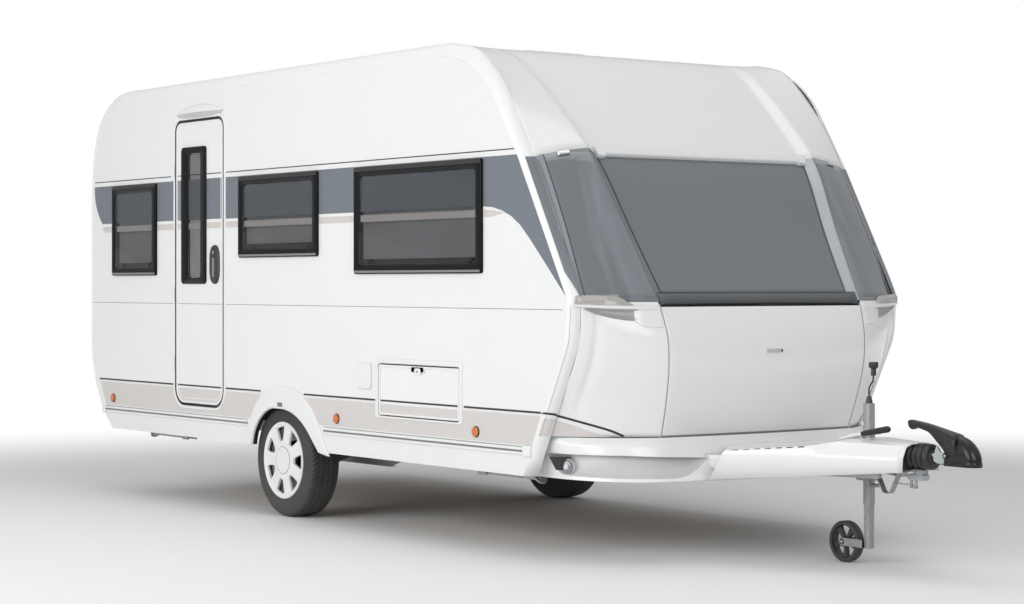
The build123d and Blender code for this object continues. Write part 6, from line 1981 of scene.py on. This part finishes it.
# The pale sleeve over the lever: x, lower edge, crown, half width.
SLEEVE = [(3.5300, 0.6040, 0.6080, 0.003), (3.5360, 0.6030, 0.6120, 0.008), (3.5600, 0.6060, 0.6200, 0.012),
          (3.6040, 0.6150, 0.6320, 0.015), (3.6500, 0.6250, 0.6430, 0.015), (3.6800, 0.6310, 0.6455, 0.013),
          (3.6930, 0.6340, 0.6440, 0.008)]


def lever_sleeve():
    """Oval sections that rise along the lever and close at both ends."""
    turn = np.linspace(0, 2 * pi, 24, endpoint=False)
    rows = []
    for x, low, crown, half in smooth_path(SLEEVE, 5):
        z = (low + crown) / 2 + (crown - low) / 2 * np.sin(turn)
        rows.append(np.column_stack([np.full(24, x), LEVER_SIDE + half * np.cos(turn), z]))
    return loft(np.array(rows))


def handbrake():
    """A flat bent bar and a soft grip that swells towards its end, with fine rings round it."""
    path = smooth_path([(x, LEVER_SIDE, z) for x, z in LEVER_PATH], 8)
    arm = bar(path, rounded((-0.004, 0.004), (-0.007, 0.007), 0.002, steps=3))
    rows = smooth_path([(x, LEVER_SIDE, z, size) for (x, z), size in zip(GRIP_PATH, GRIP_SIZE)], 10)
    ripple = 1 + 0.030 * np.sin(rows[:, 0] / 0.0090 * 2 * pi) * (rows[:, 3] > 0.97)
    return arm, bar(rows[:, :3], circle(0.0150, 28), scale=rows[:, 3] * ripple)


def square_tube(half, z_low, z_high, radius):
    """An upright square bar on the jockey column's axis, with rounded edges and eased ends."""
    rows = [(0.0012, z_low), (0.0, z_low + 0.0012), (0.0, z_high - 0.0012), (0.0012, z_high)]
    loops = [raised(rounded((-half, half), (-half, half), radius, inset, 5), z) for inset, z in rows]
    points, faces = loft(np.array(loops))
    return points + (*JOCKEY, 0), faces


COLUMN = (0.0210, 0.0027, 0.2890, 0.7755, 0.0050)   # half width, wall, foot, top, corner radius


def hollow_tube(half, wall, z_low, z_high, radius):
    """An upright square tube, open below and closed just under its top."""
    rows = [(wall, z_high - wall), (wall, z_low + 0.001), (wall - 0.0006, z_low), (0.0010, z_low),
            (0.0, z_low + 0.0010), (0.0, z_high - 0.0020), (0.0020, z_high)]
    loops = [raised(rounded((-half, half), (-half, half), radius, inset, 5), z) for inset, z in rows]
    points, faces = loft(np.array(loops))
    return points + (*JOCKEY, 0), faces


def jockey_top():
    """Collar, tapered cap, bent spindle and round knob above the column."""
    collar = lathe([(0.0190, 0.7745), (0.0190, 0.7775), (0.0170, 0.7800), (0.0165, 0.7860),
                    (0.0125, 0.8020), (0.0115, 0.8095), (0.0060, 0.8100)], (*JOCKEY, 0), "z", 32)
    spindle = smooth_path([(0, 0.805), (0, 0.842), (0.008, 0.860), (0.024, 0.880), (0.029, 0.900),
                           (0.030, 0.922)], 8)
    path = np.column_stack([JOCKEY[0] + spindle[:, 0], np.full(len(spindle), JOCKEY[1]), spindle[:, 1]])
    rod = bar(path, circle(0.0044, 14), up=(0, 1, 0))
    knob = lathe([(0.0060, 0.9080), (0.0115, 0.9090), (0.0130, 0.9110), (0.0125, 0.9400), (0.0150, 0.9435),
                  (0.0205, 0.9465), (0.0228, 0.9500), (0.0232, 0.9640), (0.0222, 0.9705), (0.0195, 0.9735),
                  (0.0, 0.9740)], (JOCKEY[0] + 0.030, JOCKEY[1], 0), "z", 36)
    return collar, rod, knob


def jockey_clamp():
    """The clamp on the column: a deep plate with an eased foot, a brace and a short round stub."""
    x, y = JOCKEY
    plate_side = side_slab([(x - 0.064, 0.4360), (x - 0.061, 0.4120), (x - 0.048, 0.4060),
                            (x + 0.030, 0.4060), (x + 0.058, 0.4360)], y - 0.030, y + 0.030)
    brace = bar([(x + 0.020, y - 0.010, 0.392), (x + 0.058, y - 0.028, 0.446)],
                rounded((-0.003, 0.003), (-0.006, 0.006), 0.001, steps=2))
    stub = lathe([(0.0088, 0.018), (0.0088, 0.0660), (0.0075, 0.0690), (0.0, 0.0695)], (x, y, 0.385), "x",
                 24)
    return merged([plate_side, brace, stub])


FORK_Z, FORK_REACH = 0.100, 0.160
FORK_SIDES = ((0.0610, 0.0665), (0.1190, 0.1245))   # near and far face of each arm


def fork_arms():
    """Flat arms with round ends from a bent plate behind the foot, and the rounded foot itself."""
    x = JOCKEY[0]
    turn = np.linspace(pi / 2, 3 * pi / 2, 19)
    tip = np.column_stack([x - FORK_REACH + 0.019 * np.cos(turn), FORK_Z + 0.019 * np.sin(turn)])
    flat = np.concatenate([[(x - 0.0165, FORK_Z + 0.019)], tip, [(x - 0.0165, FORK_Z - 0.019)]])
    arms = []
    for near, far in FORK_SIDES:
        rows = [np.column_stack([flat[:, 0], np.full(len(flat), at), flat[:, 1]]) for at in (far, near)]
        arms.append(loft(np.array(rows)))
    back = side_slab([(x - 0.0235, FORK_Z + 0.019), (x - 0.0235, FORK_Z - 0.019),
                      (x - 0.0165, FORK_Z - 0.019), (x - 0.0165, FORK_Z + 0.019)], FORK_SIDES[0][0],
                     FORK_SIDES[1][1], 0.001)
    return merged(arms + [back, square_tube(0.0175, FORK_Z - 0.0195, 0.222, 0.003)])


WHEEL_SPOKES = 5


def fork_bolts():
    """A washer, a dark ring and a pale bolt end on each arm."""
    x = JOCKEY[0] - FORK_REACH
    spots = [((x, FORK_SIDES[0][0], FORK_Z), "y-"), ((x, FORK_SIDES[1][1], FORK_Z), "y+")]
    washers = [lathe([(0.0140, -0.0005), (0.0140, 0.0015), (0.0125, 0.0020), (0.0080, 0.0020)], *spot, 28)
               for spot in spots]
    ends = [lathe([(0.0080, 0.0010), (0.0080, 0.0040), (0.0065, 0.0055), (0.0, 0.0055)], *spot, 20)
            for spot in spots]
    return merged(washers), merged(ends)


def jockey_wheel():
    """A solid tyre with rounded shoulders, a hub, and five flat spokes that widen outwards."""
    y_low, y_high = FORK_SIDES[0][1] + 0.0015, FORK_SIDES[1][0] - 0.0015
    half = (y_high - y_low) / 2
    centre = np.array((JOCKEY[0] - FORK_REACH, (y_low + y_high) / 2, FORK_Z))
    shoulder = 0.010 * (1 - np.cos(np.linspace(0, pi / 2, 6)))
    rise = 0.010 * np.sin(np.linspace(0, pi / 2, 6))
    outer = [(0.090 + r, -half + d) for r, d in zip(rise, shoulder)]
    section = outer + [(r, -d) for r, d in outer[::-1]]
    tyre_rows = [(0.0780, 0.0), (0.0785, -0.012), (0.0800, -half + 0.001), (0.0820, -half)] + section
    tyre_rows += [(0.0820, half), (0.0800, half - 0.001), (0.0785, 0.012), (0.0780, 0.0)]
    hub = [(0.0, -half), (0.0240, -half), (0.0255, -half + 0.002), (0.0280, 0.0), (0.0255, half - 0.002),
           (0.0240, half), (0.0, half)]
    spokes = []
    for i in range(WHEEL_SPOKES):
        turn = pi / 2 + (i + 0.5) * 2 * pi / WHEEL_SPOKES
        way, across = np.array((np.cos(turn), np.sin(turn))), np.array((-np.sin(turn), np.cos(turn)))
        flat = [0.020 * way - 0.007 * across, 0.081 * way - 0.016 * across, 0.081 * way + 0.016 * across,
                0.020 * way + 0.007 * across]
        rows = [np.column_stack([np.array(flat)[:, 0], np.full(4, at), np.array(flat)[:, 1]])
                for at in (0.009, -0.009)]
        spokes.append(loft(np.array(rows)))
    turned = [lathe(tyre_rows, (0, 0, 0), "y+", 72), lathe(hub, (0, 0, 0), "y+", 40)]
    points, faces = merged(turned + spokes)
    return points + centre, faces


build("lever_sleeve", lever_sleeve(), GEL_COAT)
lever_arm, lever_grip = handbrake()
build("lever_arm", lever_arm, ZINC, replaces=["handbrake_lever"])
build("lever_grip", lever_grip, GRIP_BLACK)
collar, spindle, knob = jockey_top()
build("jockey_cap", collar, BLACK_STEEL, replaces=["jockey_crank"])
build("jockey_spindle", spindle, BLACK_STEEL)
build("jockey_knob", knob, BLACK_PLASTIC)
build("jockey_outer_tube", hollow_tube(*COLUMN), ZINC_LIGHT, replaces=["jockey_column"])
build("jockey_clamp", jockey_clamp(), ZINC_LIGHT)
build("jockey_arms", fork_arms(), ZINC_LIGHT, "jockey_fork", ["jockey_fork"])
washers, bolt_ends = fork_bolts()
build("jockey_roller", jockey_wheel(), JOCKEY_RUBBER, "jockey_wheel", ["jockey_wheel"])
build("jockey_washers", washers, BLACK_PLASTIC, "jockey_fork")
build("jockey_bolt_ends", bolt_ends, CHROME, "jockey_fork")


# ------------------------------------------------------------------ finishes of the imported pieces
# A material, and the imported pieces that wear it.
FINISHES = [
    (WHITE_SKIN, "side_wall_right side_wall_left entrance_door"),
    (REAR_SKIN, "rear_wall"),
    (ROOF_SKIN, "roof_panel"),
    (RAIL_PAINT, "corner_rails skirt_rails"),
    (BLACK_GLOSS, "side_windows rear_window door_window"),
    (WHITE_PLASTIC, "roof_lights arch_trims front_rail front_wings awning_light hub_cap_right "
                    "hub_cap_left flap_frames fridge_vents"),
    (GEL_COAT, "front_hood front_cheeks locker_lid locker_box front_apron drawbar_cover service_flap "
               "toilet_flap"),
    (SLATE_GLASS, "front_pillars front_window"),
    (CLEAR, "front_lamps"),
    (AMBER, "marker_lamps"),
    (RED, "rear_lamps"),
    (BOARD, "floor_panel"),
    (HOUSE_PLASTIC, "wheel_houses"),
    (ZINC, "chassis_rails chassis_cross_members drawbar axle_tube steady_rear_right steady_rear_left "
           "steady_front_right steady_front_left overrun_housing handbrake_lever jockey_column "
           "jockey_fork"),
    (BLACK_STEEL, "swing_arms coupling_head jockey_crank"),
    (TYRE, "tyre_right tyre_left jockey_wheel"),
    (SILVER, "rim_right rim_left"),
    (BELLOWS, "bellows"),
    (BLACK_PLASTIC, "coupling_handle door_handle"),
    (ZINC_LIGHT, "jockey_tube"),
]
for material, names in FINISHES:
    for name in names.split():
        nodes[name].data.materials.clear()
        nodes[name].data.materials.append(material)


# ------------------------------------------------------------------ camera
CAMERA_TURN = 54.0                                  # degrees from looking straight at the door side
camera_data = bpy.data.cameras.new("camera")
camera_data.lens, camera_data.sensor_width = 78.96, 36.0
camera_data.shift_y = -0.01875
camera_data.clip_end = 100.0
camera = bpy.data.objects.new("camera", camera_data)
camera.location = (10.344, -7.62, 1.352)
camera.rotation_euler = (pi / 2, 0, np.radians(CAMERA_TURN))
bpy.context.scene.collection.objects.link(camera)
bpy.context.scene.camera = camera


# ------------------------------------------------------------------ light
def area_light(name, place, target, size, power):
    """A soft rectangular light turned towards a point."""
    data = bpy.data.lights.new(name, "AREA")
    data.shape, data.size, data.size_y, data.energy = "RECTANGLE", *size, power
    light = bpy.data.objects.new(name, data)
    light.location = place
    offset = np.array(target) - place
    light.rotation_euler = (np.arccos(-offset[2] / np.linalg.norm(offset)), 0,
                            np.arctan2(offset[1], offset[0]) - pi / 2)
    bpy.context.scene.collection.objects.link(light)


area_light("side_light", (0.5, -9.0, 3.2), (0.0, 0.0, 1.2), (9.0, 4.0), 400.0)
area_light("front_light", (9.0, -2.5, 4.0), (1.5, 0.0, 1.2), (4.0, 4.0), 150.0)
area_light("top_light", (0.5, 0.0, 7.5), (0.5, 0.01, 0.0), (8.0, 4.0), 100.0)

world = bpy.data.worlds.new("studio")
bpy.context.scene.world = world
world.use_nodes = True
shading = world.node_tree
shading.nodes.clear()
ray = shading.nodes.new("ShaderNodeLightPath")
sharp = math(shading, "MAXIMUM", ray.outputs["Is Camera Ray"], ray.outputs["Is Transmission Ray"])
direction = shading.nodes.new("ShaderNodeTexCoord").outputs["Generated"]
height = add(shading, "ShaderNodeSeparateXYZ", [("Vector", direction)])
sky = add(shading, "ShaderNodeMapRange", [("Value", height.outputs["Z"])], From_Min=-0.2, From_Max=0.9,
          To_Min=0.30, To_Max=0.9)
level = math(shading, "MAXIMUM", sharp, sky.outputs["Result"])
soft = add(shading, "ShaderNodeBackground", Color=(1, 1, 1, 1), Strength=0.5)
seen = add(shading, "ShaderNodeBackground", [("Strength", level)], Color=(1, 1, 1, 1))
choice = add(shading, "ShaderNodeMixShader")
shading.links.new(math(shading, "MAXIMUM", sharp, ray.outputs["Is Glossy Ray"]), choice.inputs[0])
shading.links.new(soft.outputs[0], choice.inputs[1])
shading.links.new(seen.outputs[0], choice.inputs[2])
shading.links.new(choice.outputs[0], add(shading, "ShaderNodeOutputWorld").inputs["Surface"])


# ------------------------------------------------------------------ floor
FLOOR_SIZE, FLOOR_FADE = 80.0, (4.5, 9.0)           # the floor's side; where it starts to fade and ends


def make_floor():
    """A white floor: plain under the object, fading into the background further out."""
    mesh = bpy.data.meshes.new("studio_floor")
    half = FLOOR_SIZE / 2
    mesh.from_pydata([(-half, -half, 0), (half, -half, 0), (half, half, 0), (-half, half, 0)], [],
                     [(0, 1, 2, 3)])
    floor = bpy.data.objects.new("studio_floor", mesh)
    bpy.context.scene.collection.objects.link(floor)
    material, tree, shader = new_material("studio_white", Roughness=1.0, Specular_IOR_Level=0.0)
    shader.inputs["Base Color"].default_value = (0.86, 0.86, 0.86, 1)
    mesh.materials.append(material)
    path = tree.nodes.new("ShaderNodeLightPath")
    seen = math(tree, "MAXIMUM", path.outputs["Is Camera Ray"], path.outputs["Is Glossy Ray"])
    far = add(tree, "ShaderNodeVectorMath", [("Vector", object_place(tree))],
              operation="LENGTH").outputs["Value"]
    fade = add(tree, "ShaderNodeMapRange", [("Value", far)], From_Min=FLOOR_FADE[0], From_Max=FLOOR_FADE[1],
               interpolation_type="SMOOTHSTEP").outputs["Result"]
    glow = add(tree, "ShaderNodeEmission", Color=(1, 1, 1, 1), Strength=1.0)
    blend = add(tree, "ShaderNodeMixShader")
    tree.links.new(math(tree, "MULTIPLY", seen, fade), blend.inputs[0])
    tree.links.new(shader.outputs[0], blend.inputs[1])
    tree.links.new(glow.outputs[0], blend.inputs[2])
    tree.links.new(blend.outputs[0], tree.nodes["Material Output"].inputs["Surface"])
    return floor


bpy.context.scene.view_settings.view_transform = "Standard"
make_floor()
